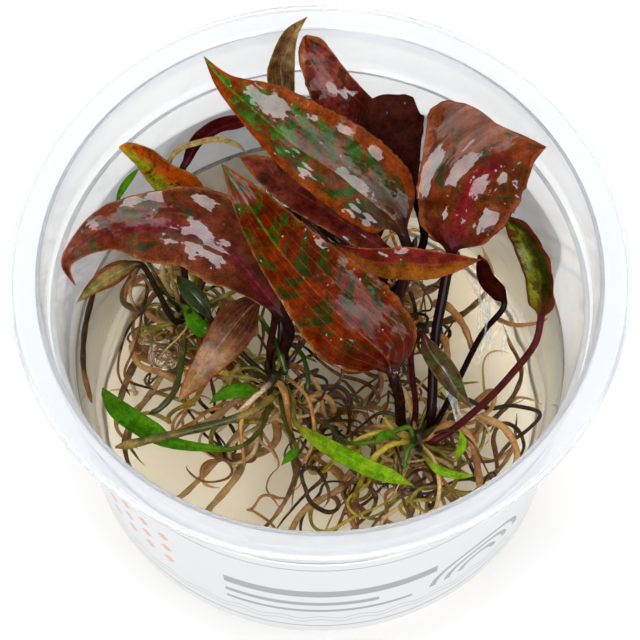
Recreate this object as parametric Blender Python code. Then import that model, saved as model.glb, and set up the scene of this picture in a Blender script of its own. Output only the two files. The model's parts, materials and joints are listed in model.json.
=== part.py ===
"""Rose maiden cryptocoryne growing in gel in a clear lidless plant cup.

Every size below is in millimetres and is turned into metres where a mesh is made.
The cup stands on the origin, +Z is up, and -Y is the side that the label reads from.
"""
import math

import bmesh
import bpy
from mathutils import Vector

MM = 0.001
GAP = 0.3

# Cup
RIM_RADIUS = 50.0
CUP_HEIGHT = 60.0
WALL = 0.8
FOOT_DEPTH = 0.8
FLOOR_TOP = FOOT_DEPTH + WALL
FLOOR_RADIUS = 37.2
LEDGE_RADIUS = 43.1
LEDGE_HEIGHT = 49.3
DRAFT = 0.0905
LEDGE_WIDTH = 1.1
LEDGE_RISE = 0.7
COLLAR_RADIUS = 45.0
COLLAR_BEND = 0.8
LIP_DROP = 1.8
LIP_THICK = 0.7
LIP_BEND = 0.4
FOOT_RADIUS = 38.3
FOOT_WIDTH = 1.5
FOOT_SLOPE = 0.3
BEND_LOW = 2.1
BEND_HIGH = 3.6
BEND_CUT = 0.35
SEGMENTS = 40

# Label band round the wall, open at the right
LABEL_THICK = 0.3
LABEL_LOW = 4.5
LABEL_HIGH = 41.5
LABEL_START = 18.0
LABEL_END = 333.0
LABEL_CORNER = [(0.0, 3.0), (1.2, 0.9), (3.6, 0.0)]

# Gel
GEL_TOP = 28.3
MENISCUS = 0.6
MENISCUS_WIDE = 2.4

# Crowns: the short rootstocks that carry the leaves and the thick roots
CROWN_RADIUS = 2.0
CROWN_LOW = 22.0
CROWN_TOP = 30.6
CROWN_SIDES = 8
ROOT_START = 23.5
ROOT_RADIUS = 0.55
ROOT_TIP = 0.45
ROOT_SIDES = 4
ROOT_STEPS = 7
CROWNS = {
    "right": (16.0, -15.5),
    "left": (-8.0, -4.5),
    "back": (9.0, 10.0),
    "small": (-22.5, 8.5),
}

# Thick roots: the points that each one passes through after its crown
ROOTS = {
    "right": [
        [(20.0, -17.0, 20.0), (27.0, -18.0, 13.0), (32.0, -12.0, 7.0), (34.0, -3.0, 4.5)],
        [(16.0, -20.0, 19.0), (14.0, -27.0, 13.0), (7.0, -32.0, 8.0), (-2.0, -34.0, 5.0)],
        [(17.5, -11.0, 18.0), (23.0, -5.0, 11.0), (24.0, 3.0, 6.0), (19.0, 9.0, 4.0)],
        [(21.0, -13.0, 21.5), (29.0, -9.0, 18.0), (34.5, 1.0, 14.0), (31.5, 13.0, 10.0)],
        [(19.0, -20.5, 21.0), (25.0, -26.5, 17.0), (21.5, -30.5, 11.0), (19.0, -25.0, 5.0)],
        [(12.0, -16.5, 20.5), (5.0, -20.0, 18.0), (-3.0, -25.0, 15.5), (-7.0, -33.0, 12.0)],
    ],
    "left": [
        [(-11.0, -8.0, 21.0), (-17.0, -14.0, 15.0), (-24.0, -20.0, 9.0), (-30.0, -19.0, 5.0)],
        [(-6.0, -9.0, 19.0), (-4.0, -16.0, 12.0), (-9.0, -24.0, 6.0), (-17.0, -28.0, 4.5)],
        [(-3.5, -4.0, 19.0), (4.0, -8.0, 13.0), (7.0, -16.0, 7.5), (2.0, -22.0, 4.0)],
        [(-12.5, -5.5, 22.0), (-20.0, -9.5, 19.0), (-28.0, -10.5, 15.0), (-35.0, -3.5, 15.5)],
        [(-9.5, -9.0, 21.0), (-14.0, -19.0, 18.5), (-20.0, -27.0, 15.0), (-15.0, -32.5, 11.0)],
        [(-4.5, -7.0, 21.0), (1.0, -13.0, 18.0), (9.0, -21.5, 14.0), (4.0, -28.0, 12.0)],
    ],
    "back": [
        [(13.0, 13.0, 19.0), (20.0, 19.0, 13.0), (24.0, 27.0, 8.0), (17.0, 33.0, 4.5)],
        [(6.5, 14.0, 18.0), (1.0, 22.0, 11.0), (-6.0, 28.0, 6.0), (-14.0, 28.0, 4.0)],
        [(9.0, 6.0, 19.0), (10.0, 0.0, 12.0), (4.0, -3.0, 6.5), (-4.0, 0.0, 4.0)],
        [(13.5, 9.0, 21.0), (22.0, 10.0, 18.0), (29.5, 17.0, 19.0), (28.0, 26.0, 17.0)],
        [(8.0, 14.5, 21.5), (6.0, 25.0, 18.0), (-2.0, 32.0, 14.0), (-13.0, 33.5, 10.0)],
        [(5.0, 9.0, 20.0), (-4.0, 9.5, 15.0), (-9.0, 16.0, 12.0), (-3.0, 20.0, 7.0)],
    ],
    "small": [
        [(-26.0, 7.0, 20.0), (-32.0, 3.0, 14.0), (-35.0, -6.0, 8.5), (-31.0, -12.0, 12.0)],
        [(-23.0, 13.0, 19.0), (-25.0, 21.0, 12.0), (-31.0, 18.0, 6.5), (-30.0, 10.0, 4.0)],
        [(-19.0, 8.0, 18.0), (-14.0, 9.0, 11.0), (-14.0, 16.0, 6.0), (-20.0, 21.0, 4.0)],
        [(-27.0, 10.0, 22.0), (-34.0, 14.0, 19.0), (-29.0, 24.5, 16.0), (-19.0, 30.0, 13.0)],
        [(-24.0, 4.0, 21.0), (-27.5, -3.0, 21.5), (-33.0, -13.0, 18.5), (-29.0, -23.5, 14.0)],
        [(-18.5, 6.0, 20.0), (-15.0, 0.5, 15.0), (-19.0, -6.0, 10.0), (-26.0, -7.0, 5.0)],
    ],
}

# Leaves
STALK_START = 29.0
BLADE_THICK = 0.5
TIP_HALF = 0.15
BIG = (6, 13, 8)
MIDDLE = (4, 8, 8)
SMALL = (3, 6, 6)


def leaf(crown, azimuth, radius, stalk, rib, face, fold, count, colour):
    """One leaf: where it leaves its crown, its stalk, and its midrib with both half widths.

    A rib entry is x, y, z, half width to the left of travel, half width to the right.
    """
    return {
        "crown": crown, "azimuth": azimuth, "radius": radius, "stalk": stalk, "rib": rib,
        "face": face, "fold": fold, "count": count, "colour": colour,
    }


RUST = (0.27, 0.05, 0.018)
OLIVE = (0.16, 0.075, 0.03)
ROSE = (0.26, 0.06, 0.045)
CRIMSON = (0.22, 0.02, 0.02)
DARK = (0.045, 0.010, 0.008)
GREEN = (0.11, 0.26, 0.02)
LIME = (0.24, 0.36, 0.04)
ORANGE = (0.42, 0.11, 0.02)
STRAW = (0.50, 0.38, 0.12)

LEAVES = {
    "leaf_front": leaf(
        "right", 138, 0.9, [(13.3, -13.2, 33.0), (13.0, -13.5, 40.0)],
        [(12.0, -13.5, 47.5, 0.9, 0.9), (11.5, -12.0, 48.5, 2.6, 4.2), (10.0, -10.0, 50.0, 4.6, 7.1),
         (5.0, -6.5, 53.0, 7.3, 8.7), (-1.5, -1.5, 57.0, 5.5, 7.6), (-7.0, 4.0, 60.5, 4.0, 5.8),
         (-12.0, 11.0, 63.0, 2.3, 3.2), (-16.0, 17.0, 64.5, 0.0, 0.0)],
        (-0.1, -0.35, 0.95), 6, BIG, RUST),
    "leaf_upper_left": leaf(
        "back", -20, 0.9, [(13.5, 9.5, 33.0), (15.0, 11.5, 40.0)],
        [(14.0, 13.0, 46.0, 0.9, 0.9), (12.5, 15.5, 47.5, 2.7, 4.3), (10.0, 17.0, 49.5, 4.7, 7.5),
         (4.0, 20.0, 54.0, 5.5, 8.6), (-3.5, 23.0, 59.0, 4.5, 8.0), (-10.0, 27.0, 63.0, 3.1, 5.9),
         (-15.5, 31.0, 66.0, 1.6, 1.8), (-19.0, 35.0, 68.0, 0.0, 0.0)],
        (0.0, -0.45, 0.9), 8, BIG, OLIVE),
    "leaf_left": leaf(
        "left", 55, 0.85, [(-6.0, -1.2, 33.0), (-5.0, -1.0, 39.0)],
        [(-6.0, -0.5, 44.0, 0.85, 0.85), (-9.5, 2.5, 48.0, 2.5, 6.3), (-14.5, 6.5, 53.0, 6.1, 7.9),
         (-21.0, 9.0, 56.0, 5.9, 7.6), (-27.5, 9.0, 58.0, 6.0, 5.7), (-34.0, 8.5, 58.0, 3.7, 3.8),
         (-39.0, 7.0, 55.0, 2.1, 1.8), (-41.5, 5.0, 52.0, 1.0, 0.7), (-40.0, 3.0, 48.0, 0.0, 0.0)],
        (0.05, -0.5, 0.87), 8, BIG, ROSE),
    "leaf_right": leaf(
        "right", 58, 0.85, [(18.5, -12.0, 31.5), (19.0, -2.5, 38.0), (20.5, 5.0, 43.0)],
        [(21.5, 9.5, 46.0, 0.85, 0.85), (22.0, 11.5, 48.0, 5.4, 4.4), (23.5, 15.0, 51.5, 7.8, 7.4),
         (25.0, 17.8, 55.0, 9.6, 8.0), (28.2, 20.2, 57.8, 14.0, 7.4), (31.2, 21.4, 59.2, 6.2, 5.8),
         (34.0, 22.1, 60.0, 2.2, 3.0), (37.0, 22.5, 60.0, 0.0, 0.0)],
        (0.05, -0.6, 0.8), 4, BIG, CRIMSON),
    "leaf_dark_back": leaf(
        "back", 20, 0.7, [(14.0, 12.5, 32.0), (17.5, 17.0, 38.0)],
        [(16.0, 21.5, 44.0, 0.7, 0.7), (15.5, 23.0, 47.5, 0.9, 2.3), (15.0, 25.5, 51.5, 1.7, 6.0),
         (14.0, 28.5, 55.0, 3.2, 8.2), (14.0, 30.0, 58.0, 3.0, 6.6), (15.0, 32.0, 60.0, 0.4, 1.2)],
        (0.0, 0.55, -0.83), 5, MIDDLE, DARK),
    "leaf_red_back": leaf(
        "back", 100, 0.7, [(9.0, 18.0, 33.0), (13.0, 25.0, 41.0)],
        [(13.5, 28.0, 46.0, 0.7, 0.7), (11.5, 31.0, 50.0, 3.7, 2.3), (7.5, 33.0, 54.5, 5.3, 2.0),
         (3.5, 35.5, 58.5, 5.7, 2.0), (0.5, 38.0, 61.5, 4.3, 2.1), (-1.5, 40.0, 63.0, 2.6, 2.0),
         (-2.5, 41.5, 63.5, 0.4, 0.4)],
        (0.15, -0.6, 0.8), 5, MIDDLE, CRIMSON),
    "leaf_crest": leaf(
        "back", 140, 0.55, [(0.0, 21.0, 34.0), (-4.5, 31.0, 44.0)],
        [(-6.0, 35.0, 50.0, 0.55, 0.55), (-6.0, 36.0, 53.5, 2.2, 1.9), (-6.5, 38.0, 58.0, 2.6, 2.6),
         (-6.0, 39.5, 62.0, 1.9, 2.3), (-4.5, 41.0, 65.5, 1.5, 1.2), (-2.0, 42.5, 68.0, 0.0, 0.0)],
        (0.0, -0.75, 0.65), 28, MIDDLE, OLIVE),
    "leaf_orange": leaf(
        "small", 70, 0.6, [(-19.5, 16.0, 36.0)],
        [(-20.0, 19.0, 44.0, 0.6, 0.6), (-22.0, 20.5, 48.0, 3.6, 3.2), (-26.0, 21.5, 52.0, 3.2, 2.8),
         (-29.0, 23.0, 54.5, 2.0, 2.6), (-31.5, 24.0, 56.0, 1.0, 1.7), (-33.0, 25.0, 55.5, 0.2, 0.2)],
        (0.1, -0.45, 0.9), 30, MIDDLE, ORANGE),
    "leaf_inner": leaf(
        "back", 65, 0.7, [(12.0, 13.5, 36.0)],
        [(12.0, 12.0, 42.5, 0.7, 0.7), (7.5, 14.0, 44.5, 2.2, 2.0), (2.5, 17.0, 46.5, 3.1, 3.4),
         (-3.5, 20.5, 48.0, 3.3, 3.7), (-8.5, 23.5, 49.0, 2.4, 2.9), (-11.5, 25.5, 49.5, 1.3, 1.4),
         (-13.5, 26.5, 49.5, 0.0, 0.0)],
        (0.0, -0.35, 0.93), 18, MIDDLE, CRIMSON),
    "leaf_small_right": leaf(
        "back", 180, 0.55, [(3.5, 10.5, 33.0), (1.0, 10.2, 43.0)],
        [(2.0, 10.0, 49.0, 0.55, 0.55), (5.0, 8.0, 50.0, 1.2, 1.4), (9.0, 6.0, 51.0, 2.3, 2.4),
         (14.0, 5.5, 51.5, 2.7, 2.9), (18.5, 5.5, 51.0, 2.3, 2.4), (22.5, 6.5, 50.0, 1.3, 1.5),
         (26.5, 7.5, 49.0, 0.0, 0.0)],
        (0.0, -0.4, 0.9), 14, MIDDLE, ORANGE),
    "leaf_small_left": leaf(
        "small", 240, 0.5, [(-25.0, 5.5, 31.5), (-27.0, 7.0, 38.0)],
        [(-29.5, 9.5, 43.0, 0.5, 0.5), (-32.0, 8.5, 44.0, 1.2, 1.5), (-34.5, 7.0, 44.0, 1.7, 2.0),
         (-37.5, 5.5, 42.5, 1.0, 1.3), (-40.5, 4.0, 40.0, 0.0, 0.0)],
        (0.0, -0.4, 0.9), 14, SMALL, ROSE),
    "leaf_hanging_left": leaf(
        "left", 98, 0.6, [(-8.4, -0.8, 33.0), (-7.5, 2.5, 39.0)],
        [(-9.0, 4.0, 41.5, 0.6, 0.6), (-11.0, 2.5, 42.5, 1.7, 1.8), (-13.5, -0.5, 42.5, 3.6, 3.4),
         (-16.5, -4.0, 41.0, 3.6, 2.9), (-19.5, -7.5, 39.0, 2.5, 2.0), (-22.0, -10.0, 36.5, 1.3, 1.0),
         (-23.5, -11.5, 34.5, 0.0, 0.0)],
        (-0.1, -0.7, 0.7), 8, MIDDLE, ROSE),
    "leaf_curled": leaf(
        "left", 145, 0.45, [(-13.5, -0.5, 31.0)],
        [(-18.0, 3.0, 35.5, 0.45, 0.45), (-19.5, 5.0, 37.0, 1.7, 1.5), (-21.5, 7.0, 38.0, 1.8, 1.7),
         (-23.0, 9.0, 38.0, 1.1, 0.9), (-24.0, 10.5, 37.5, 0.0, 0.0)],
        (0.0, -0.4, 0.9), 25, SMALL, DARK),
    "leaf_green_under": leaf(
        "left", 178, 0.4, [(-12.5, -2.8, 30.0)],
        [(-18.0, 2.0, 30.5, 0.4, 0.4), (-19.5, 3.0, 31.0, 1.2, 1.4), (-21.0, 4.5, 31.5, 1.4, 1.5),
         (-22.5, 7.0, 31.5, 0.7, 0.8), (-23.5, 8.5, 31.0, 0.0, 0.0)],
        (0.0, -0.3, 0.95), 10, SMALL, GREEN),
    "leaf_sunk_green": leaf(
        "left", 262, 0.4, [(-9.5, -13.5, 29.5)],
        [(-13.5, -17.5, 29.5, 0.4, 0.4), (-19.0, -17.5, 29.5, 0.8, 0.7), (-24.5, -16.5, 29.5, 1.3, 1.0),
         (-28.0, -14.5, 29.5, 2.0, 1.7), (-33.0, -11.0, 29.5, 2.0, 1.7), (-35.5, -8.0, 29.5, 1.1, 0.8),
         (-36.5, -6.5, 29.5, 0.0, 0.0)],
        (0.0, 0.0, 1.0), 3, MIDDLE, GREEN),
    "leaf_green_blade": leaf(
        "left", 232, 0.4, [],
        [(-10.2, -7.7, 31.0, 0.4, 0.4), (-11.8, -8.1, 32.0, 1.2, 1.1), (-14.0, -8.6, 32.8, 1.4, 1.2),
         (-16.5, -9.6, 32.9, 0.9, 0.9), (-18.5, -11.0, 32.5, 0.0, 0.0)],
        (0.0, -0.3, 0.95), 15, SMALL, GREEN),
    "leaf_green_spear": leaf(
        "left", 325, 0.45, [(-4.5, -9.5, 30.5)],
        [(-4.0, -14.0, 31.5, 0.45, 0.45), (-0.5, -17.5, 32.5, 1.2, 1.3), (3.5, -20.5, 33.5, 1.5, 1.6),
         (7.5, -23.0, 34.0, 1.5, 1.6), (11.5, -24.5, 33.5, 1.3, 1.3), (15.5, -26.0, 33.0, 0.0, 0.0)],
        (0.0, -0.3, 0.95), 20, SMALL, LIME),
    "leaf_green_hook": leaf(
        "left", 294, 0.35, [(-5.8, -13.0, 29.6)],
        [(-4.0, -17.5, 30.2, 0.35, 0.35), (-4.0, -18.8, 30.9, 0.6, 0.6), (-5.0, -19.8, 31.2, 0.9, 0.7),
         (-6.5, -21.5, 31.0, 0.0, 0.0)],
        (0.0, -0.3, 0.95), 10, SMALL, GREEN),
    "leaf_narrow_right": leaf(
        "right", 97, 0.5, [(15.9, -11.0, 32.0), (15.0, -5.5, 40.0)],
        [(16.5, -3.5, 44.0, 0.5, 0.5), (18.0, -6.5, 43.5, 1.6, 1.7), (20.5, -9.5, 42.0, 2.1, 2.1),
         (22.5, -11.5, 39.0, 1.4, 1.3), (25.0, -13.5, 36.0, 0.0, 0.0)],
        (0.2, -0.6, 0.8), 25, SMALL, OLIVE),
    "leaf_wall": leaf(
        "right", -10, 0.6, [(22.0, -14.5, 29.9), (28.0, -9.0, 30.0), (32.5, -4.0, 30.5), (36.0, 0.5, 31.5)],
        [(37.0, 4.0, 33.0, 0.6, 0.6), (37.0, 6.0, 35.5, 2.1, 3.0), (36.5, 9.5, 38.5, 2.4, 3.7),
         (35.0, 13.0, 41.5, 2.4, 3.8), (33.0, 15.5, 44.0, 2.1, 3.2), (30.5, 17.5, 46.0, 0.3, 0.3)],
        (-0.55, -0.55, 0.62), 18, MIDDLE, OLIVE),
    "leaf_dark_low": leaf(
        "right", 24, 0.5, [(22.0, -8.0, 30.0), (27.0, 2.5, 30.3)],
        [(31.0, 7.5, 31.5, 0.5, 0.5), (30.0, 9.0, 34.0, 1.4, 1.4), (28.0, 10.0, 37.0, 1.5, 1.4),
         (27.0, 11.5, 39.5, 1.0, 1.2), (26.5, 12.5, 41.0, 0.2, 0.2)],
        (0.0, -0.5, 0.8), 10, SMALL, DARK),
    "leaf_arch": leaf(
        "small", 95, 0.6, [(-23.5, 20.0, 30.5), (-24.0, 27.0, 33.0)],
        [(-23.5, 30.0, 38.0, 0.6, 0.6), (-22.5, 31.0, 40.0, 0.9, 0.7), (-20.5, 33.0, 43.0, 1.6, 0.8),
         (-17.0, 34.0, 46.0, 1.8, 0.8), (-13.5, 34.0, 48.0, 1.4, 1.0), (-9.5, 35.0, 48.5, 0.0, 0.0)],
        (0.1, -0.6, 0.75), 12, MIDDLE, CRIMSON),
    "leaf_straw": leaf(
        "small", 128, 0.45, [(-26.5, 20.0, 30.3), (-27.5, 27.5, 32.0)],
        [(-26.0, 31.0, 38.0, 0.45, 0.45), (-24.0, 32.0, 42.0, 0.5, 0.5), (-20.5, 31.5, 45.5, 0.5, 0.5),
         (-17.0, 31.0, 47.5, 0.5, 0.5), (-14.0, 30.0, 47.5, 0.4, 0.4), (-12.0, 29.0, 46.0, 0.0, 0.0)],
        (0.1, -0.6, 0.75), 5, SMALL, STRAW),
    "leaf_tiny_spear": leaf(
        "small", 160, 0.3, [(-29.5, 17.0, 30.3), (-33.5, 22.0, 34.0)],
        [(-34.0, 22.5, 41.0, 0.3, 0.3), (-33.0, 23.5, 44.0, 0.7, 0.6), (-31.5, 24.8, 46.0, 0.5, 0.6),
         (-30.0, 26.0, 47.0, 0.0, 0.0)],
        (0.0, -0.4, 0.9), 20, SMALL, GREEN),
    "leaf_sprout_low": leaf(
        "right", -72, 0.35, [],
        [(17.5, -19.8, 30.5, 0.35, 0.35), (19.2, -22.0, 31.0, 0.7, 0.7), (22.5, -23.2, 31.0, 0.7, 0.7),
         (26.0, -23.0, 30.5, 0.0, 0.0)],
        (0.0, -0.3, 0.95), 10, SMALL, LIME),
    "leaf_sprout_up": leaf(
        "right", -40, 0.35, [(19.8, -18.3, 29.7)],
        [(22.0, -20.3, 30.5, 0.35, 0.35), (23.0, -19.5, 32.0, 0.7, 0.7), (23.5, -18.2, 33.5, 0.7, 0.7),
         (23.0, -16.5, 34.5, 0.0, 0.0)],
        (0.0, -0.6, 0.8), 10, SMALL, LIME),
    "leaf_sprout_mid": leaf(
        "right", 190, 0.35, [],
        [(12.8, -16.5, 31.0, 0.35, 0.35), (11.5, -16.2, 32.0, 0.9, 0.7), (10.0, -17.0, 32.5, 0.7, 0.7),
         (9.0, -18.0, 31.5, 0.0, 0.0)],
        (0.0, -0.3, 0.95), 10, SMALL, GREEN),
}


def material(name, colour, roughness, metallic=0.0):
    """A plain Principled material."""
    made = bpy.data.materials.new(name)
    made.use_nodes = True
    shader = made.node_tree.nodes["Principled BSDF"]
    shader.inputs["Base Color"].default_value = (*colour, 1.0)
    shader.inputs["Roughness"].default_value = roughness
    shader.inputs["Metallic"].default_value = metallic
    return made


def new_object(name, points, faces, finish):
    """A mesh object from points in millimetres, its faces turned outwards."""
    mesh = bpy.data.meshes.new(name)
    mesh.from_pydata([tuple(MM * c for c in p) for p in points], [], faces)
    shape = bmesh.new()
    shape.from_mesh(mesh)
    bmesh.ops.recalc_face_normals(shape, faces=shape.faces)
    shape.to_mesh(mesh)
    shape.free()
    made = bpy.data.objects.new(name, mesh)
    made.data.materials.append(finish)
    bpy.context.scene.collection.objects.link(made)
    return made


def smooth(made, angle=35.0):
    made.data.shade_smooth()
    made.data.set_sharp_from_angle(angle=math.radians(angle))


def turned(name, profile, finish, segments=SEGMENTS):
    """A turned solid whose profile runs from the axis round to the axis again."""
    points = [(0.0, 0.0, profile[0][1])]
    rings = []
    for radius, height in profile[1:-1]:
        rings.append(len(points))
        for k in range(segments):
            turn = 2.0 * math.pi * k / segments
            points.append((radius * math.cos(turn), radius * math.sin(turn), height))
    points.append((0.0, 0.0, profile[-1][1]))
    last = len(points) - 1
    faces = []
    for k in range(segments):
        after = (k + 1) % segments
        faces.append((0, rings[0] + k, rings[0] + after))
        faces.append((last, rings[-1] + after, rings[-1] + k))
        for low, high in zip(rings, rings[1:]):
            faces.append((low + k, high + k, high + after, low + after))
    return new_object(name, points, faces, finish)


def wall_radius(height):
    """Inner radius of the tapered wall."""
    return LEDGE_RADIUS - DRAFT * (LEDGE_HEIGHT - height)


def cup_profile():
    inner = [
        (0.0, FLOOR_TOP), (FLOOR_RADIUS, FLOOR_TOP), (wall_radius(BEND_LOW) - BEND_CUT, BEND_LOW),
        (wall_radius(BEND_HIGH), BEND_HIGH), (LEDGE_RADIUS, LEDGE_HEIGHT),
        (LEDGE_RADIUS + LEDGE_WIDTH, LEDGE_HEIGHT + LEDGE_RISE),
        (COLLAR_RADIUS, CUP_HEIGHT - COLLAR_BEND), (COLLAR_RADIUS + COLLAR_BEND, CUP_HEIGHT),
    ]
    lip = [
        (RIM_RADIUS - LIP_BEND, CUP_HEIGHT), (RIM_RADIUS, CUP_HEIGHT - LIP_BEND),
        (RIM_RADIUS, CUP_HEIGHT - LIP_DROP), (RIM_RADIUS - LIP_THICK, CUP_HEIGHT - LIP_DROP),
        (RIM_RADIUS - LIP_THICK, CUP_HEIGHT - WALL), (COLLAR_RADIUS + WALL, CUP_HEIGHT - WALL),
    ]
    outer = [
        (LEDGE_RADIUS + LEDGE_WIDTH + WALL, LEDGE_HEIGHT + LEDGE_RISE + BEND_CUT),
        (LEDGE_RADIUS + WALL, LEDGE_HEIGHT - BEND_CUT),
        (wall_radius(BEND_HIGH) + WALL, BEND_HIGH - WALL), (FOOT_RADIUS + FOOT_SLOPE, WALL),
        (FOOT_RADIUS, 0.0), (FOOT_RADIUS - FOOT_WIDTH, 0.0),
        (FOOT_RADIUS - FOOT_WIDTH - FOOT_SLOPE, FOOT_DEPTH), (0.0, FOOT_DEPTH),
    ]
    return inner + lip + outer


def facet_radius(radius, azimuth):
    """Distance from the axis to a flat-sided wall whose corners lie at the given radius."""
    step = 360.0 / SEGMENTS
    off = azimuth % step - step / 2.0
    return radius * math.cos(math.radians(step / 2.0)) / math.cos(math.radians(off))


def make_label(finish):
    """The thin band round the wall, its four corners rounded."""
    stops = [(LABEL_START + turn, inset) for turn, inset in LABEL_CORNER]
    azimuth = LABEL_START + 360.0 / SEGMENTS
    while azimuth < LABEL_END - 360.0 / SEGMENTS + 0.1:
        stops.append((azimuth, 0.0))
        azimuth += 360.0 / SEGMENTS
    stops += [(LABEL_END - turn, inset) for turn, inset in reversed(LABEL_CORNER)]
    points = []
    for azimuth, inset in stops:
        turn = math.radians(azimuth)
        for height in (LABEL_LOW + inset, LABEL_HIGH - inset):
            for out in (GAP, GAP + LABEL_THICK):
                radius = facet_radius(wall_radius(height) + WALL + out, azimuth)
                points.append((radius * math.cos(turn), radius * math.sin(turn), height))
    faces = [(0, 1, 3, 2)]
    for k in range(len(stops) - 1):
        a = 4 * k
        b = a + 4
        faces += [(a, b, b + 1, a + 1), (a + 1, b + 1, b + 3, a + 3)]
        faces += [(a + 3, b + 3, b + 2, a + 2), (a + 2, b + 2, b, a)]
    end = 4 * (len(stops) - 1)
    faces.append((end, end + 2, end + 3, end + 1))
    return new_object("label", points, faces, finish)


def spline(points, steps):
    """Points along a smooth curve through the given ones, and each one's place in the list."""
    first = 2.0 * points[0] - points[1]
    last = 2.0 * points[-1] - points[-2]
    guide = [first] + list(points) + [last]
    made = []
    for i in range(1, len(guide) - 2):
        a, b, c, d = guide[i - 1:i + 3]
        for j in range(steps):
            t = j / steps
            spot = (2.0 * b + (c - a) * t + (2.0 * a - 5.0 * b + 4.0 * c - d) * t * t
                    + (3.0 * b - a - 3.0 * c + d) * t * t * t) / 2.0
            made.append((spot, i - 1 + t))
    made.append((points[-1], float(len(points) - 1)))
    return made


def even_steps(path, count):
    """The same curve in a given number of even steps."""
    lengths = [0.0]
    for before, after in zip(path, path[1:]):
        lengths.append(lengths[-1] + (after[0] - before[0]).length)
    made = []
    at = 0
    for k in range(count):
        want = lengths[-1] * k / (count - 1)
        while at < len(path) - 2 and lengths[at + 1] < want:
            at += 1
        share = (want - lengths[at]) / max(lengths[at + 1] - lengths[at], 1e-9)
        share = min(max(share, 0.0), 1.0)
        spot = path[at][0].lerp(path[at + 1][0], share)
        place = path[at][1] + share * (path[at + 1][1] - path[at][1])
        made.append((spot, place))
    return made


def tangents(spots):
    made = []
    for k in range(len(spots)):
        before = spots[max(k - 1, 0)]
        after = spots[min(k + 1, len(spots) - 1)]
        made.append((after - before).normalized())
    return made


def crown_centre(crown, height):
    x, y = CROWNS[crown]
    return Vector((x, y, height))


def lofted(name, rings, finish):
    """A closed solid through rings that all have the same number of points."""
    sides = len(rings[0])
    points = [tuple(p) for ring in rings for p in ring]
    faces = [tuple(range(sides))]
    for k in range(len(rings) - 1):
        low = k * sides
        for i in range(sides):
            after = (i + 1) % sides
            faces.append((low + i, low + after, low + sides + after, low + sides + i))
    faces.append(tuple(range((len(rings) - 1) * sides, len(rings) * sides)))
    return new_object(name, points, faces, finish)


def ring_across(left, right, thick, fold, radius, sides):
    """One cross section as (across, up) pairs, from the left edge over the top and back below."""
    rise = math.sin(math.radians(fold))
    run = math.cos(math.radians(fold))
    half = thick / 2.0
    if sides == 6:
        upper = [(0.4, left, 1), (0.4, right, -1)]
    else:
        upper = [(0.5, left, 1), (0.0, left, 1), (0.5, right, -1)]
    section = [(left * run, left * rise)]
    for share, width, way in upper:
        lift = radius if share == 0.0 else half
        section.append((way * share * width * run, share * width * rise + lift))
    section.append((-right * run, right * rise))
    for share, width, way in reversed(upper):
        lift = radius if share == 0.0 else half
        section.append((way * share * width * run, share * width * rise - lift))
    return section


def leaf_rings(spec):
    """Every cross section of one leaf, from the foot of its stalk to its tip."""
    stalk_count, blade_count, sides = spec["count"]
    radius = spec["radius"]
    turn = math.radians(spec["azimuth"])
    reach = CROWN_RADIUS + GAP + radius
    foot = crown_centre(spec["crown"], STALK_START)
    foot += reach * Vector((math.cos(turn), math.sin(turn), 0.0))
    rib = [Vector(entry[:3]) for entry in spec["rib"]]
    guide = [foot] + [Vector(p) for p in spec["stalk"]] + rib
    base = len(guide) - len(rib)
    path = spline(guide, 12)
    stalk = even_steps([p for p in path if p[1] <= base], stalk_count)
    blade = even_steps([p for p in path if p[1] >= base], blade_count)[1:]
    spots = [p[0] for p in stalk + blade]
    along = tangents(spots)
    face = Vector(spec["face"])
    ups = [None] * len(spots)
    for k in range(len(spots) - 1, -1, -1):
        aim = face if k >= stalk_count - 1 else ups[k + 1]
        ups[k] = (aim - aim.dot(along[k]) * along[k]).normalized()
    rings = []
    for k, (spot, place) in enumerate(stalk + blade):
        side = ups[k].cross(along[k])
        if k < stalk_count:
            section = []
            for i in range(sides):
                around = 2.0 * math.pi * i / sides
                section.append((radius * math.cos(around), radius * math.sin(around)))
        else:
            entry = min(int(place - base), len(rib) - 2)
            share = place - base - entry
            share = share * share * (3.0 - 2.0 * share)
            left, right = (
                max(spec["rib"][entry][c] * (1.0 - share) + spec["rib"][entry + 1][c] * share, TIP_HALF)
                for c in (3, 4))
            done = (k - stalk_count + 1) / blade_count
            middle = max(radius * (1.0 - done), 0.5 * BLADE_THICK)
            thick = min(BLADE_THICK, 2.0 * max(left, right))
            section = ring_across(left, right, thick, spec["fold"], min(middle, radius), sides)
        rings.append([spot + across * side + up * ups[k] for across, up in section])
    return rings


def root_rings(crown, route, radius):
    """Cross sections of one thick root, from inside its crown to its tip."""
    guide = [crown_centre(crown, ROOT_START)] + [Vector(p) for p in route]
    spots = [p[0] for p in even_steps(spline(guide, 10), ROOT_STEPS)]
    along = tangents(spots)
    up = along[0].orthogonal().normalized()
    rings = []
    for k, spot in enumerate(spots):
        up = (up - up.dot(along[k]) * along[k]).normalized()
        side = along[k].cross(up)
        slim = radius - (ROOT_RADIUS - ROOT_TIP) * k / (ROOT_STEPS - 1)
        rings.append([
            spot + slim * (math.cos(t) * side + math.sin(t) * up)
            for t in (2.0 * math.pi * i / ROOT_SIDES for i in range(ROOT_SIDES))])
    rings[-1] = [spots[-1] + (p - spots[-1]) * 0.6 for p in rings[-1]]
    return rings


def crown_profile(extra):
    """A short stub with a domed top, made larger all round by the given amount."""
    wide = CROWN_RADIUS + extra
    top = CROWN_TOP + 2.0 * extra
    return [
        (0.0, CROWN_LOW - extra), (0.55 * wide, CROWN_LOW - extra), (0.9 * wide, CROWN_LOW + 1.2),
        (wide, CROWN_LOW + 3.0), (wide, CROWN_TOP - 1.6), (0.75 * wide, top - 0.4), (0.0, top),
    ]


def hide_cutter(made):
    made.hide_render = True
    made.display_type = "WIRE"


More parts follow.
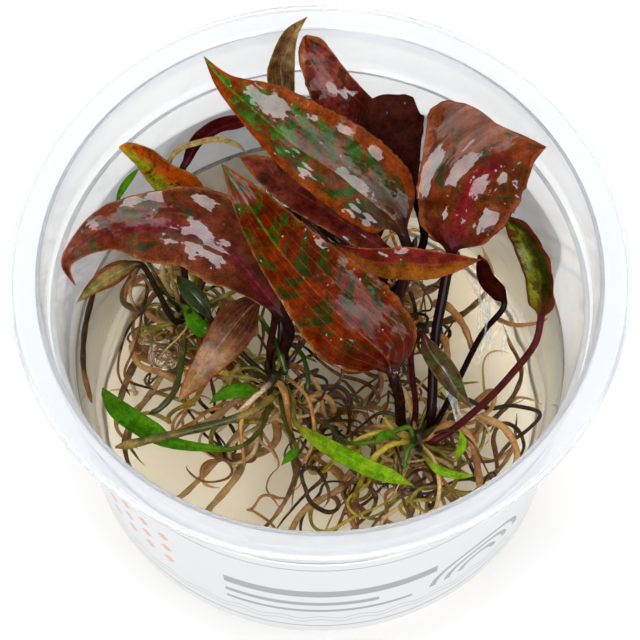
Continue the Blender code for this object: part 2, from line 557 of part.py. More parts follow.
def boolean(target, tool, operation):
    cut = target.modifiers.new(operation.lower() + "_" + tool.name, "BOOLEAN")
    cut.operation = operation
    cut.solver = "EXACT"
    cut.object = tool
    hide_cutter(tool)


def make_crown(crown, name, extra, finish):
    """One crown with its thick roots joined on; extra makes the larger copy that cuts the gel."""
    stub = turned(name, crown_profile(extra), finish, CROWN_SIDES)
    stub.location = MM * crown_centre(crown, 0.0)
    for k, route in enumerate(ROOTS[crown]):
        root = lofted(name + "_root_" + str(k), root_rings(crown, route, ROOT_RADIUS + extra), finish)
        boolean(stub, root, "UNION")
    return stub


def gel_profile():
    """The gel stands well below the ledge, and creeps up the wall a little."""
    edge = wall_radius(GEL_TOP + MENISCUS) - GAP
    low = FLOOR_TOP + GAP
    return [
        (0.0, low), (FLOOR_RADIUS - 0.2, low), (wall_radius(BEND_LOW) - BEND_CUT - GAP, BEND_LOW + 0.25),
        (wall_radius(BEND_HIGH) - GAP, BEND_HIGH), (edge, GEL_TOP + MENISCUS),
        (edge - MENISCUS_WIDE, GEL_TOP), (0.0, GEL_TOP),
    ]


def make_gel(finish):
    gel = turned("gel", gel_profile(), finish)
    for crown in CROWNS:
        boolean(gel, make_crown(crown, "cut_" + crown, GAP, finish), "DIFFERENCE")
    return gel


def main():
    for old in list(bpy.data.objects):
        bpy.data.objects.remove(old, do_unlink=True)
    plastic = material("clear plastic", (0.86, 0.89, 0.90), 0.08)
    paper = material("white film", (0.88, 0.88, 0.87), 0.45)
    jelly = material("clear gel", (0.80, 0.74, 0.62), 0.10)
    root = material("rootstock", (0.17, 0.09, 0.04), 0.6)
    smooth(turned("cup", cup_profile(), plastic))
    smooth(make_label(paper))
    smooth(make_gel(jelly))
    for crown in CROWNS:
        smooth(make_crown(crown, "crown_" + crown, 0.0, root))
    for name, spec in LEAVES.items():
        finish = material(name.replace("_", " "), spec["colour"], 0.25)
        smooth(lofted(name, leaf_rings(spec), finish), 60.0)


main()
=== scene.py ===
import json
import math
import random

import bmesh
import bpy
import numpy as np
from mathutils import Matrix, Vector


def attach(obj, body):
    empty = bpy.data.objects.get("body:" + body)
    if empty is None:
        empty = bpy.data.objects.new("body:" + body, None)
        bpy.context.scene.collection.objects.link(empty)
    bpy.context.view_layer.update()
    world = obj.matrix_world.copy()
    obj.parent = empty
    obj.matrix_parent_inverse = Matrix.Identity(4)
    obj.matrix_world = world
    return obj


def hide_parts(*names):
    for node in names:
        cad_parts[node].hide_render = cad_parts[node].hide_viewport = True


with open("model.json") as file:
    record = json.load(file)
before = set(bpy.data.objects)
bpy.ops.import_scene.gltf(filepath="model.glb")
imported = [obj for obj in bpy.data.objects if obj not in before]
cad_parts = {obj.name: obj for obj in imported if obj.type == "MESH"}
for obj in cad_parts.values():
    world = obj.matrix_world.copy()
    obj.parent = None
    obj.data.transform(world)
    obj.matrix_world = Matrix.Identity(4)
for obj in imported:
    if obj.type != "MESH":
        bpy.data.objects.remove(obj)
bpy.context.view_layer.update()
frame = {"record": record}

# Looks of a rose maiden cryptocoryne growing in gel in a clear lidless plant cup.
# Lengths are in millimetres until a mesh is made, because the leaves and roots are that fine.
MM = 0.001

# Cup, label and gel, the same sizes as the solids
RIM_RADIUS = 50.0
CUP_HEIGHT = 60.0
WALL = 0.8
FOOT_DEPTH = 0.8
FLOOR_TOP = FOOT_DEPTH + WALL
FLOOR_RADIUS = 37.2
LEDGE_RADIUS = 43.1
LEDGE_HEIGHT = 49.3
DRAFT = 0.0905
LEDGE_WIDTH = 1.1
LEDGE_RISE = 0.7
COLLAR_RADIUS = 45.0
COLLAR_BEND = 0.8
LIP_DROP = 1.8
LIP_THICK = 0.7
LIP_BEND = 0.4
FOOT_RADIUS = 38.3
FOOT_WIDTH = 1.5
FOOT_SLOPE = 0.3
BEND_LOW = 2.1
BEND_HIGH = 3.6
BEND_CUT = 0.35
CUP_BEND = 0.35
LABEL_THICK = 0.3
LABEL_OFF_WALL = 0.3
LABEL_LOW = 4.5
LABEL_HIGH = 41.5
LABEL_START = 18.0
LABEL_END = 333.0
GEL_TOP = 28.3
MENISCUS = 0.6
TURN_STEPS = 192

# Crowns and thick roots, the same places as the solids
CROWN_RADIUS = 2.0
CROWN_LOW = 22.0
CROWN_TOP = 30.6
ROOT_START = 23.5
ROOT_RADIUS = 0.55
CROWNS = {
    "right": (16.0, -15.5),
    "left": (-8.0, -4.5),
    "back": (9.0, 10.0),
    "small": (-22.5, 8.5),
}

# Thick roots: the points that each one passes through after its crown
ROOTS = {
    "right": [
        [(20, -17, 20), (27, -18, 13), (32, -12, 7), (34, -3, 4.5)],
        [(16, -20, 19), (14, -27, 13), (7, -32, 8), (-2, -34, 5)],
        [(17.5, -11, 18), (23, -5, 11), (24, 3, 6), (19, 9, 4)],
        [(21, -13, 21.5), (29, -9, 18), (34.5, 1, 14), (31.5, 13, 10)],
        [(19, -20.5, 21), (25, -26.5, 17), (21.5, -30.5, 11), (19, -25, 5)],
        [(12, -16.5, 20.5), (5, -20, 18), (-3, -25, 15.5), (-7, -33, 12)],
    ],
    "left": [
        [(-11, -8, 21), (-17, -14, 15), (-24, -20, 9), (-30, -19, 5)],
        [(-6, -9, 19), (-4, -16, 12), (-9, -24, 6), (-17, -28, 4.5)],
        [(-3.5, -4, 19), (4, -8, 13), (7, -16, 7.5), (2, -22, 4)],
        [(-12.5, -5.5, 22), (-20, -9.5, 19), (-28, -10.5, 15), (-35, -3.5, 15.5)],
        [(-9.5, -9, 21), (-14, -19, 18.5), (-20, -27, 15), (-15, -32.5, 11)],
        [(-4.5, -7, 21), (1, -13, 18), (9, -21.5, 14), (4, -28, 12)],
    ],
    "back": [
        [(13, 13, 19), (20, 19, 13), (24, 27, 8), (17, 33, 4.5)],
        [(6.5, 14, 18), (1, 22, 11), (-6, 28, 6), (-14, 28, 4)],
        [(9, 6, 19), (10, 0, 12), (4, -3, 6.5), (-4, 0, 4)],
        [(13.5, 9, 21), (22, 10, 18), (29.5, 17, 19), (28, 26, 17)],
        [(8, 14.5, 21.5), (6, 25, 18), (-2, 32, 14), (-13, 33.5, 10)],
        [(5, 9, 20), (-4, 9.5, 15), (-9, 16, 12), (-3, 20, 7)],
    ],
    "small": [
        [(-26, 7, 20), (-32, 3, 14), (-35, -6, 8.5), (-31, -12, 12)],
        [(-23, 13, 19), (-25, 21, 12), (-31, 18, 6.5), (-30, 10, 4)],
        [(-19, 8, 18), (-14, 9, 11), (-14, 16, 6), (-20, 21, 4)],
        [(-27, 10, 22), (-34, 14, 19), (-29, 24.5, 16), (-19, 30, 13)],
        [(-24, 4, 21), (-27.5, -3, 21.5), (-33, -13, 18.5), (-29, -23.5, 14)],
        [(-18.5, 6, 20), (-15, 0.5, 15), (-19, -6, 10), (-26, -7, 5)],
    ],
}

# Leaves
STALK_START = 29.0
GAP = 0.3

# How finely a blade is drawn: millimetres between its rows, and points round each row
BIG = (0.4, 89)
MIDDLE = (0.4, 57)
SMALL = (0.35, 41)

# Each leaf: its finish and seed; ruffle, length of a ruffle, quilting and lumps in mm; its crown and the
# side of the crown in degrees; radius of the stalk; the way its face looks; fold in degrees; how finely it
# is drawn; the points of its stalk and midrib, where the blade has its half widths to the left and right too.
LEAVES = {
    "front": ("rust", 1, 0.4, 9, 0.035, 0.45, "right", 138, 0.9, (-0.1, -0.35, 0.95), 6, BIG,
        [(13.3, -13.2, 33), (13, -13.5, 40), (12, -13.5, 47.5), (11.5, -12, 48.5, 2.6, 4.2),
        (10, -10, 50, 4.6, 7.1), (5, -6.5, 53, 7.3, 8.7), (-1.5, -1.5, 57, 5.5, 7.6), (-7, 4, 60.5, 4, 5.8),
        (-12, 11, 63, 2.3, 3.2), (-16, 17, 64.5, 0, 0)]),
    "upper_left": ("olive", 2, 0.45, 11, 0.03, 0.5, "back", -20, 0.9, (0, -0.45, 0.9), 8, BIG,
        [(13.5, 9.5, 33), (15, 11.5, 40), (14, 13, 46), (12.5, 15.5, 47.5, 2.7, 4.3),
        (10, 17, 49.5, 4.7, 7.5), (4, 20, 54, 5.5, 8.6), (-3.5, 23, 59, 4.5, 8), (-10, 27, 63, 3.1, 5.9),
        (-15.5, 31, 66, 1.6, 1.8), (-19, 35, 68, 0, 0)]),
    "left": ("rose", 3, 0.45, 12, 0.03, 0.5, "left", 55, 0.85, (0.05, -0.5, 0.87), 8, BIG,
        [(-6, -1.2, 33), (-5, -1, 39), (-6, -0.5, 44), (-9.5, 2.5, 48, 2.5, 6.3), (-14.5, 6.5, 53, 6.1, 7.9),
        (-21, 9, 56, 5.9, 7.6), (-27.5, 9, 58, 6, 5.7), (-34, 8.5, 58, 3.7, 3.8), (-39, 7, 55, 2.1, 1.8),
        (-41.5, 5, 52, 1, 0.7), (-40, 3, 48, 0, 0)]),
    "right": ("crimson", 4, 0.6, 11, 0.03, 0.6, "right", 58, 0.85, (0.05, -0.6, 0.8), 4, BIG,
        [(18.5, -12, 31.5), (19, -2.5, 38), (20.5, 5, 43), (21.5, 9.5, 46), (22, 11.5, 48, 5.4, 4.4),
        (23.5, 15, 51.5, 7.8, 7.4), (25, 17.8, 55, 9.6, 8), (28.2, 20.2, 57.8, 14, 7.4),
        (31.2, 21.4, 59.2, 6.2, 5.8), (34, 22.1, 60, 2.2, 3), (37, 22.5, 60, 0, 0)]),
    "dark_back": ("dark", 5, 0.5, 6, 0.03, 0.6, "back", 20, 0.7, (0, 0.55, -0.83), 5, MIDDLE,
        [(14, 12.5, 32), (17.5, 17, 38), (16, 21.5, 44), (15.5, 23, 47.5, 0.9, 2.3), (15, 25.5, 51.5, 1.7, 6),
        (14, 28.5, 55, 3.2, 8.2), (14, 30, 58, 3, 6.6), (15, 32, 60, 0.4, 1.2)]),
    "red_back": ("pink", 6, 0.5, 7, 0.03, 0.6, "back", 100, 0.7, (0.15, -0.6, 0.8), 5, MIDDLE,
        [(9, 18, 33), (13, 25, 41), (13.5, 28, 46), (11.5, 31, 50, 3.7, 2.3), (7.5, 33, 54.5, 5.3, 2),
        (3.5, 35.5, 58.5, 5.7, 2), (0.5, 38, 61.5, 4.3, 2.1), (-1.5, 40, 63, 2.6, 2),
        (-2.5, 41.5, 63.5, 0.4, 0.4)]),
    "crest": ("crest", 7, 0.3, 6, 0.03, 0.3, "back", 140, 0.55, (0, -0.75, 0.65), 28, MIDDLE,
        [(0, 21, 34), (-4.5, 31, 44), (-6, 35, 50), (-6, 36, 53.5, 2.2, 1.9), (-6.5, 38, 58, 2.6, 2.6),
        (-6, 39.5, 62, 1.9, 2.3), (-4.5, 41, 65.5, 1.5, 1.2), (-2, 42.5, 68, 0, 0)]),
    "orange": ("orange", 8, 0.3, 7, 0.03, 0.3, "small", 70, 0.6, (0.1, -0.45, 0.9), 30, MIDDLE,
        [(-19.5, 16, 36), (-20, 19, 44), (-22, 20.5, 48, 3.6, 3.2), (-26, 21.5, 52, 3.2, 2.8),
        (-29, 23, 54.5, 2, 2.6), (-31.5, 24, 56, 1, 1.7), (-33, 25, 55.5, 0.2, 0.2)]),
    "inner": ("pink", 9, 0.3, 8, 0.03, 0.4, "back", 65, 0.7, (0, -0.35, 0.93), 18, MIDDLE,
        [(12, 13.5, 36), (12, 12, 42.5), (7.5, 14, 44.5, 2.2, 2), (2.5, 17, 46.5, 3.1, 3.4),
        (-3.5, 20.5, 48, 3.3, 3.7), (-8.5, 23.5, 49, 2.4, 2.9), (-11.5, 25.5, 49.5, 1.3, 1.4),
        (-13.5, 26.5, 49.5, 0, 0)]),
    "small_right": ("flame", 10, 0.25, 6, 0.03, 0.3, "back", 180, 0.55, (0, -0.4, 0.9), 14, MIDDLE,
        [(3.5, 10.5, 33), (1, 10.2, 43), (2, 10, 49), (5, 8, 50, 1.2, 1.4), (9, 6, 51, 2.3, 2.4),
        (14, 5.5, 51.5, 2.7, 2.9), (18.5, 5.5, 51, 2.3, 2.4), (22.5, 6.5, 50, 1.3, 1.5),
        (26.5, 7.5, 49, 0, 0)]),
    "small_left": ("speckled", 11, 0.2, 5, 0.05, 0.2, "small", 240, 0.5, (0, -0.4, 0.9), 14, SMALL,
        [(-25, 5.5, 31.5), (-27, 7, 38), (-29.5, 9.5, 43), (-32, 8.5, 44, 1.2, 1.5), (-34.5, 7, 44, 1.7, 2),
        (-37.5, 5.5, 42.5, 1, 1.3), (-40.5, 4, 40, 0, 0)]),
    "hanging_left": ("hanging", 12, 0.3, 7, 0.03, 0.3, "left", 98, 0.6, (-0.1, -0.7, 0.7), 8, MIDDLE,
        [(-8.4, -0.8, 33), (-7.5, 2.5, 39), (-9, 4, 41.5), (-11, 2.5, 42.5, 1.7, 1.8),
        (-13.5, -0.5, 42.5, 3.6, 3.4), (-16.5, -4, 41, 3.6, 2.9), (-19.5, -7.5, 39, 2.5, 2),
        (-22, -10, 36.5, 1.3, 1), (-23.5, -11.5, 34.5, 0, 0)]),
    "curled": ("curled", 13, 0.2, 4, 0.05, 0.3, "left", 145, 0.45, (0, -0.4, 0.9), 25, SMALL,
        [(-13.5, -0.5, 31), (-18, 3, 35.5), (-19.5, 5, 37, 1.7, 1.5), (-21.5, 7, 38, 1.8, 1.7),
        (-23, 9, 38, 1.1, 0.9), (-24, 10.5, 37.5, 0, 0)]),
    "green_under": ("green", 14, 0.15, 5, 0.04, 0.15, "left", 178, 0.4, (0, -0.3, 0.95), 10, SMALL,
        [(-12.5, -2.8, 30), (-18, 2, 30.5), (-19.5, 3, 31, 1.2, 1.4), (-21, 4.5, 31.5, 1.4, 1.5),
        (-22.5, 7, 31.5, 0.7, 0.8), (-23.5, 8.5, 31, 0, 0)]),
    "sunk_green": ("green", 15, 0.15, 7, 0.04, 0.2, "left", 262, 0.4, (0, 0, 1), 3, MIDDLE,
        [(-9.5, -13.5, 29.5), (-13.5, -17.5, 29.5), (-19, -17.5, 29.5, 0.8, 0.7),
        (-24.5, -16.5, 29.5, 1.3, 1), (-28, -14.5, 29.5, 2, 1.7), (-33, -11, 29.5, 2, 1.7),
        (-35.5, -8, 29.5, 1.1, 0.8), (-36.5, -6.5, 29.5, 0, 0)]),
    "green_blade": ("green", 16, 0.15, 5, 0.04, 0.15, "left", 232, 0.4, (0, -0.3, 0.95), 15, SMALL,
        [(-10.2, -7.7, 31), (-11.8, -8.1, 32, 1.2, 1.1), (-14, -8.6, 32.8, 1.4, 1.2),
        (-16.5, -9.6, 32.9, 0.9, 0.9), (-18.5, -11, 32.5, 0, 0)]),
    "green_spear": ("lime", 17, 0.12, 6, 0.04, 0.15, "left", 325, 0.45, (0, -0.3, 0.95), 20, SMALL,
        [(-4.5, -9.5, 30.5), (-4, -14, 31.5), (-0.5, -17.5, 32.5, 1.2, 1.3), (3.5, -20.5, 33.5, 1.5, 1.6),
        (7.5, -23, 34, 1.5, 1.6), (11.5, -24.5, 33.5, 1.3, 1.3), (15.5, -26, 33, 0, 0)]),
    "green_hook": ("green", 18, 0.08, 3, 0.03, 0.1, "left", 294, 0.35, (0, -0.3, 0.95), 10, SMALL,
        [(-5.8, -13, 29.6), (-4, -17.5, 30.2), (-4, -18.8, 30.9, 0.6, 0.6), (-5, -19.8, 31.2, 0.9, 0.7),
        (-6.5, -21.5, 31, 0, 0)]),
    "narrow_right": ("striped", 19, 0.15, 6, 0.05, 0.2, "right", 97, 0.5, (0.2, -0.6, 0.8), 25, SMALL,
        [(15.9, -11, 32), (15, -5.5, 40), (16.5, -3.5, 44), (18, -6.5, 43.5, 1.6, 1.7),
        (20.5, -9.5, 42, 2.1, 2.1), (22.5, -11.5, 39, 1.4, 1.3), (25, -13.5, 36, 0, 0)]),
    "wall": ("wall", 20, 0.25, 8, 0.06, 0.3, "right", -10, 0.6, (-0.55, -0.55, 0.62), 18, MIDDLE,
        [(22, -14.5, 29.9), (28, -9, 30), (32.5, -4, 30.5), (36, 0.5, 31.5), (37, 4, 33),
        (37, 6, 35.5, 2.1, 3), (36.5, 9.5, 38.5, 2.4, 3.7), (35, 13, 41.5, 2.4, 3.8),
        (33, 15.5, 44, 2.1, 3.2), (30.5, 17.5, 46, 0.3, 0.3)]),
    "dark_low": ("dark", 21, 0.2, 5, 0.05, 0.2, "right", 24, 0.5, (0, -0.5, 0.8), 10, SMALL,
        [(22, -8, 30), (27, 2.5, 30.3), (31, 7.5, 31.5), (30, 9, 34, 1.4, 1.4), (28, 10, 37, 1.5, 1.4),
        (27, 11.5, 39.5, 1, 1.2), (26.5, 12.5, 41, 0.2, 0.2)]),
    "arch": ("arch", 22, 0.2, 6, 0.05, 0.2, "small", 95, 0.6, (0.1, -0.6, 0.75), 12, MIDDLE,
        [(-23.5, 20, 30.5), (-24, 27, 33), (-23.5, 30, 38), (-22.5, 31, 40, 0.9, 0.7),
        (-20.5, 33, 43, 1.6, 0.8), (-17, 34, 46, 1.8, 0.8), (-13.5, 34, 48, 1.4, 1), (-9.5, 35, 48.5, 0, 0)]),
    "straw": ("straw", 23, 0.05, 5, 0.02, 0.1, "small", 128, 0.45, (0.1, -0.6, 0.75), 5, SMALL,
        [(-26.5, 20, 30.3), (-27.5, 27.5, 32), (-26, 31, 38), (-24, 32, 42, 0.5, 0.5),
        (-20.5, 31.5, 45.5, 0.5, 0.5), (-17, 31, 47.5, 0.5, 0.5), (-14, 30, 47.5, 0.4, 0.4),
        (-12, 29, 46, 0, 0)]),
    "tiny_spear": ("green", 24, 0.06, 3, 0.02, 0.08, "small", 160, 0.3, (0, -0.4, 0.9), 20, SMALL,
        [(-29.5, 17, 30.3), (-33.5, 22, 34), (-34, 22.5, 41), (-33, 23.5, 44, 0.7, 0.6),
        (-31.5, 24.8, 46, 0.5, 0.6), (-30, 26, 47, 0, 0)]),
    "sprout_low": ("lime", 25, 0.08, 3, 0.02, 0.08, "right", -72, 0.35, (0, -0.3, 0.95), 10, SMALL,
        [(17.5, -19.8, 30.5), (19.2, -22, 31, 0.7, 0.7), (22.5, -23.2, 31, 0.7, 0.7), (26, -23, 30.5, 0, 0)]),
    "sprout_up": ("lime", 26, 0.08, 3, 0.02, 0.08, "right", -40, 0.35, (0, -0.6, 0.8), 10, SMALL,
        [(19.8, -18.3, 29.7), (22, -20.3, 30.5), (23, -19.5, 32, 0.7, 0.7), (23.5, -18.2, 33.5, 0.7, 0.7),
        (23, -16.5, 34.5, 0, 0)]),
    "sprout_mid": ("green", 27, 0.08, 3, 0.02, 0.08, "right", 190, 0.35, (0, -0.3, 0.95), 10, SMALL,
        [(12.8, -16.5, 31), (11.5, -16.2, 32, 0.9, 0.7), (10, -17, 32.5, 0.7, 0.7), (9, -18, 31.5, 0, 0)]),
}

# Places of films of water, then of damp skin: mm along the blade, mm across it, mm of radius
WET = {
    "front": ([(41, 0, 1.9), (25.5, -6.2, 0.7), (9, 6.6, 0.5), (22, 5, 0.5)], [(13, -3.4, 4)]),
    "upper_left": ([(33, -2.6, 2), (26, -5.3, 0.8), (13.5, -6.6, 0.8), (20, -6.5, 0.7), (13.5, 1, 2.4),
        (9, 2.6, 2), (22.6, 2.1, 1.5)], [(22, -2, 5.5), (10, -1, 4)]),
    "left": ([(20.5, 0.8, 2.4), (16.5, 1.6, 1.5), (24.5, 1.8, 1.4), (22, -5.4, 1), (28, -5, 0.9),
        (33, -4.4, 1.2), (38.5, -1.6, 0.9)], [(31, -3.5, 4), (39, 0.5, 3.5)]),
    "right": ([(13.2, 7.7, 0.9), (10.4, 7.2, 0.8), (14.4, 3.4, 1.3), (13, -0.8, 1.4), (8.6, -4.4, 1.4),
        (17.6, -2.4, 0.6), (20, -4.8, 0.6)], [(20, 6.5, 4.6), (17.6, 11, 2.6)]),
    "red_back": ([(15, 0.9, 1.2), (18.5, 1.8, 0.6)], [(22, 2.2, 2.6), (12, 2.5, 2)]),
    "crest": ([(10, -0.3, 1), (14, -0.5, 0.9), (6, 0, 0.9)], [(12, 0.8, 1.6)]),
    "inner": ([(8, 2.2, 0.7)], [(15, 2, 2.2), (22, 0.5, 2)]),
    "hanging_left": ([(4.5, 0.5, 0.7)], [(15, 0, 3.2), (19.5, 0.5, 2)]),
    "small_right": ([(9.4, 1.3, 0.5), (12.6, 2.1, 0.5)], []),
    "narrow_right": ([(8, 0.2, 0.8), (11, 0, 0.6)], []),
    "wall": ([(17, -1, 0.7)], [(12, 0, 2.5)]),
    "curled": ([(5, 0, 0.8)], [(4, 0.8, 2)]),
}

# Colours and shares of each leaf finish, in this order; Base is the darker colour towards the stalk, partly
# the leaf's own colour and partly painted shade
LOOK_INPUTS = ("Ground", "Warm", "Streak", "Vein", "Midrib", "Margin", "Base", "Under", "Stalk",
               "Streaks", "Veins", "Film")
LEAF_LOOKS = {
    "rust": ((0.088, 0.0078, 0.0006), (0.155, 0.016, 0.001), (0.01, 0.032, 0.002), (0.3, 0.06, 0.012),
        (0.05, 0.17, 0.008), (0.22, 0.06, 0.01), (0.07, 0.004, 0.001), (0.2, 0.05, 0.03),
        (0.016, 0.004, 0.003), 0.325, 0.55, 0.2),
    "olive": ((0.085, 0.04, 0.006), (0.17, 0.034, 0.003), (0.02, 0.085, 0.006), (0.26, 0.06, 0.035),
        (0.09, 0.22, 0.02), (0.26, 0.042, 0.004), (0.05, 0.014, 0.006), (0.19, 0.05, 0.035),
        (0.03, 0.01, 0.01), 0.35, 0.4, 0.26, {"Rim": 0.66}),
    "rose": ((0.12, 0.02, 0.005), (0.16, 0.036, 0.016), (0.03, 0.04, 0.01), (0.2, 0.03, 0.02),
        (0.13, 0.012, 0.018), (0.28, 0.09, 0.03), (0.03, 0.004, 0.002), (0.21, 0.06, 0.04),
        (0.02, 0.005, 0.004), 0.28, 0.4, 0.24, {"Band": 1}),
    "crimson": ((0.12, 0.02, 0.004), (0.2, 0.045, 0.01), (0.02, 0.035, 0.006), (0.2, 0.015, 0.012),
        (0.17, 0.006, 0.012), (0.24, 0.06, 0.02), (0.09, 0.003, 0.003), (0.18, 0.03, 0.02),
        (0.014, 0.003, 0.003), 0.27, 0.4, 0.33, {"Rim": 0.8, "Band": 1.5}),
    "pink": ((0.13, 0.012, 0.008), (0.25, 0.05, 0.03), (0.03, 0.014, 0.006), (0.32, 0.05, 0.04),
        (0.24, 0.04, 0.02), (0.34, 0.1, 0.02), (0.08, 0.006, 0.005), (0.16, 0.03, 0.02),
        (0.028, 0.005, 0.005), 0.27, 0.4, 0.28),
    "dark": ((0.019, 0.0013, 0.0007), (0.046, 0.006, 0.002), (0.008, 0.006, 0.003), (0.05, 0.008, 0.004),
        (0.04, 0.006, 0.004), (0.12, 0.02, 0.006), (0.01, 0.002, 0.002), (0.05, 0.01, 0.006),
        (0.01, 0.002, 0.002), 0.3, 0.3, 0.12),
    "crest": ((0.16, 0.065, 0.016), (0.32, 0.22, 0.085), (0.045, 0.014, 0.005), (0.42, 0.3, 0.13),
        (0.22, 0.05, 0.02), (0.34, 0.2, 0.03), (0.07, 0.02, 0.006), (0.15, 0.05, 0.02), (0.05, 0.015, 0.008),
        0.2, 0.9, 0.24),
    "orange": ((0.44, 0.07, 0.004), (0.26, 0.3, 0.012), (0.13, 0.022, 0.004), (0.4, 0.16, 0.02),
        (0.3, 0.1, 0.01), (0.4, 0.14, 0.02), (0.14, 0.12, 0.01), (0.2, 0.14, 0.02), (0.15, 0.13, 0.02), 0.33,
        0.4, 0.16, {"Split": 1.4}),
    "flame": ((0.18, 0.016, 0.01), (0.24, 0.075, 0.008), (0.06, 0.035, 0.005), (0.3, 0.06, 0.015),
        (0.22, 0.06, 0.01), (0.34, 0.08, 0.03), (0.11, 0.006, 0.008), (0.14, 0.014, 0.012),
        (0.035, 0.006, 0.006), 0.24, 0.5, 0.18, {"Split": -1}),
    "speckled": ((0.16, 0.17, 0.035), (0.24, 0.16, 0.05), (0.07, 0.1, 0.02), (0.3, 0.28, 0.1),
        (0.26, 0.24, 0.08), (0.17, 0.025, 0.006), (0.1, 0.018, 0.006), (0.16, 0.04, 0.02),
        (0.022, 0.014, 0.006), 0.34, 0.4, 0.22, {"Rim": 0.58}),
    "hanging": ((0.22, 0.085, 0.028), (0.3, 0.14, 0.06), (0.12, 0.1, 0.02), (0.36, 0.2, 0.07),
        (0.34, 0.21, 0.08), (0.24, 0.04, 0.016), (0.055, 0.008, 0.005), (0.16, 0.04, 0.02),
        (0.04, 0.008, 0.006), 0.24, 0.5, 0.18, {"Reach": 0.62}),
    "curled": ((0.02, 0.03, 0.008), (0.035, 0.06, 0.014), (0.16, 0.2, 0.13), (0.05, 0.07, 0.02),
        (0.05, 0.06, 0.02), (0.12, 0.03, 0.01), (0.03, 0.01, 0.006), (0.05, 0.02, 0.01), (0.03, 0.02, 0.008),
        0.27, 0.2, 0.3),
    "green": ((0.03, 0.125, 0.002), (0.055, 0.19, 0.004), (0.02, 0.075, 0.003), (0.09, 0.2, 0.01),
        (0.09, 0.16, 0.01), (0.06, 0.15, 0.006), (0.05, 0.08, 0.006), (0.05, 0.12, 0.01), (0.06, 0.06, 0.01),
        0.2, 0.3, 0.24),
    "lime": ((0.12, 0.27, 0.004), (0.19, 0.3, 0.008), (0.07, 0.16, 0.005), (0.24, 0.34, 0.02),
        (0.2, 0.3, 0.02), (0.19, 0.18, 0.01), (0.2, 0.17, 0.015), (0.1, 0.18, 0.01), (0.15, 0.12, 0.015), 0.2,
        0.4, 0.24),
    "striped": ((0.06, 0.045, 0.012), (0.08, 0.03, 0.012), (0.03, 0.07, 0.012), (0.24, 0.22, 0.14),
        (0.2, 0.12, 0.06), (0.1, 0.14, 0.05), (0.07, 0.01, 0.01), (0.14, 0.02, 0.02), (0.05, 0.006, 0.008),
        0.3, 0.8, 0.3),
    "wall": ((0.028, 0.032, 0.003), (0.17, 0.19, 0.008), (0.05, 0.012, 0.003), (0.1, 0.06, 0.01),
        (0.09, 0.02, 0.006), (0.13, 0.02, 0.006), (0.1, 0.01, 0.008), (0.14, 0.02, 0.012),
        (0.085, 0.012, 0.012), 0.33, 0.3, 0.2, {"Split": 1.5, "Rim": 0.72}),
    "arch": ((0.05, 0.004, 0.006), (0.09, 0.008, 0.008), (0.03, 0.006, 0.005), (0.14, 0.02, 0.02),
        (0.12, 0.012, 0.012), (0.12, 0.014, 0.012), (0.03, 0.004, 0.004), (0.08, 0.01, 0.01),
        (0.03, 0.006, 0.006), 0.2, 0.3, 0.2),
    "straw": ((0.42, 0.28, 0.08), (0.46, 0.33, 0.12), (0.34, 0.2, 0.05), (0.5, 0.38, 0.16),
        (0.46, 0.32, 0.12), (0.44, 0.3, 0.1), (0.36, 0.22, 0.06), (0.36, 0.24, 0.08), (0.3, 0.18, 0.05), 0.2,
        0.3, 0.16),
}


class Wire:
    """A socket in a node tree. Arithmetic on it adds the nodes that work it out."""

    def __init__(self, tree, socket):
        self.tree = tree
        self.socket = socket

    def __rsub__(self, other):
        return maths("SUBTRACT", other, self)


for sign, operation in {
        "add": "ADD", "radd": "ADD", "sub": "SUBTRACT", "mul": "MULTIPLY", "rmul": "MULTIPLY",
        "truediv": "DIVIDE", "abs": "ABSOLUTE", "pow": "POWER", "lt": "LESS_THAN",
        "gt": "GREATER_THAN"}.items():
    setattr(Wire, "__%s__" % sign, lambda *values, kind=operation: maths(kind, *values))


def is_vector(value):
    if isinstance(value, Wire):
        return value.socket.type in ("VECTOR", "RGBA")
    return isinstance(value, tuple)


def feed(socket, value):
    """Gives a socket a wire or a plain value."""
    if isinstance(value, Wire):
        value.tree.links.new(value.socket, socket)
    elif socket.type == "RGBA" and len(value) == 3:
        socket.default_value = (*value, 1.0)
    else:
        socket.default_value = value


def add_node(tree, kind, fed=None, output=0, **settings):
    """A new node with its settings and inputs; gives back the wire of one of its outputs."""
    made = tree.nodes.new(kind)
    for setting, value in settings.items():
        setattr(made, setting, value)
    for name, value in (fed or {}).items():
        named = [s for s in made.inputs if s.enabled and name in (s.identifier, s.name)]
        feed(named[0] if named else made.inputs[name], value)
    return Wire(tree, made.outputs[output])


def maths(operation, *values):
    tree = next(v.tree for v in values if isinstance(v, Wire))
    if not any(is_vector(v) for v in values):
        return add_node(tree, "ShaderNodeMath", dict(enumerate(values)), operation=operation)
    if operation == "MULTIPLY" and not all(is_vector(v) for v in values):
        vector, size = values if is_vector(values[0]) else reversed(values)
        return add_node(tree, "ShaderNodeVectorMath", {"Vector": vector, "Scale": size}, operation="SCALE")
    return add_node(tree, "ShaderNodeVectorMath", dict(enumerate(values)), operation=operation)


def between(value, low, high, start=0.0, end=1.0, shape="SMOOTHSTEP"):
    """Runs from start to end as the value runs from low to high."""
    fed = {"Value": value, "From Min": low, "From Max": high, "To Min": start, "To Max": end}
    return add_node(value.tree, "ShaderNodeMapRange", fed, interpolation_type=shape)


def mixed(share, first, second):
    """first where the share is 0 and second where it is 1, for numbers, vectors and colours alike."""
    sample = second if isinstance(second, Wire) else first
    kind = "FLOAT"
    if is_vector(first) or is_vector(second):
        is_colour = not isinstance(sample, Wire) or sample.socket.type == "RGBA"
        kind = "RGBA" if is_colour and share.tree.type == "SHADER" else "VECTOR"
    end, output = {"FLOAT": ("Float", 0), "VECTOR": ("Vector", 1), "RGBA": ("Color", 2)}[kind]
    fed = {"Factor_Float": share, "A_" + end: first, "B_" + end: second}
    return add_node(share.tree, "ShaderNodeMix", fed, output, data_type=kind)


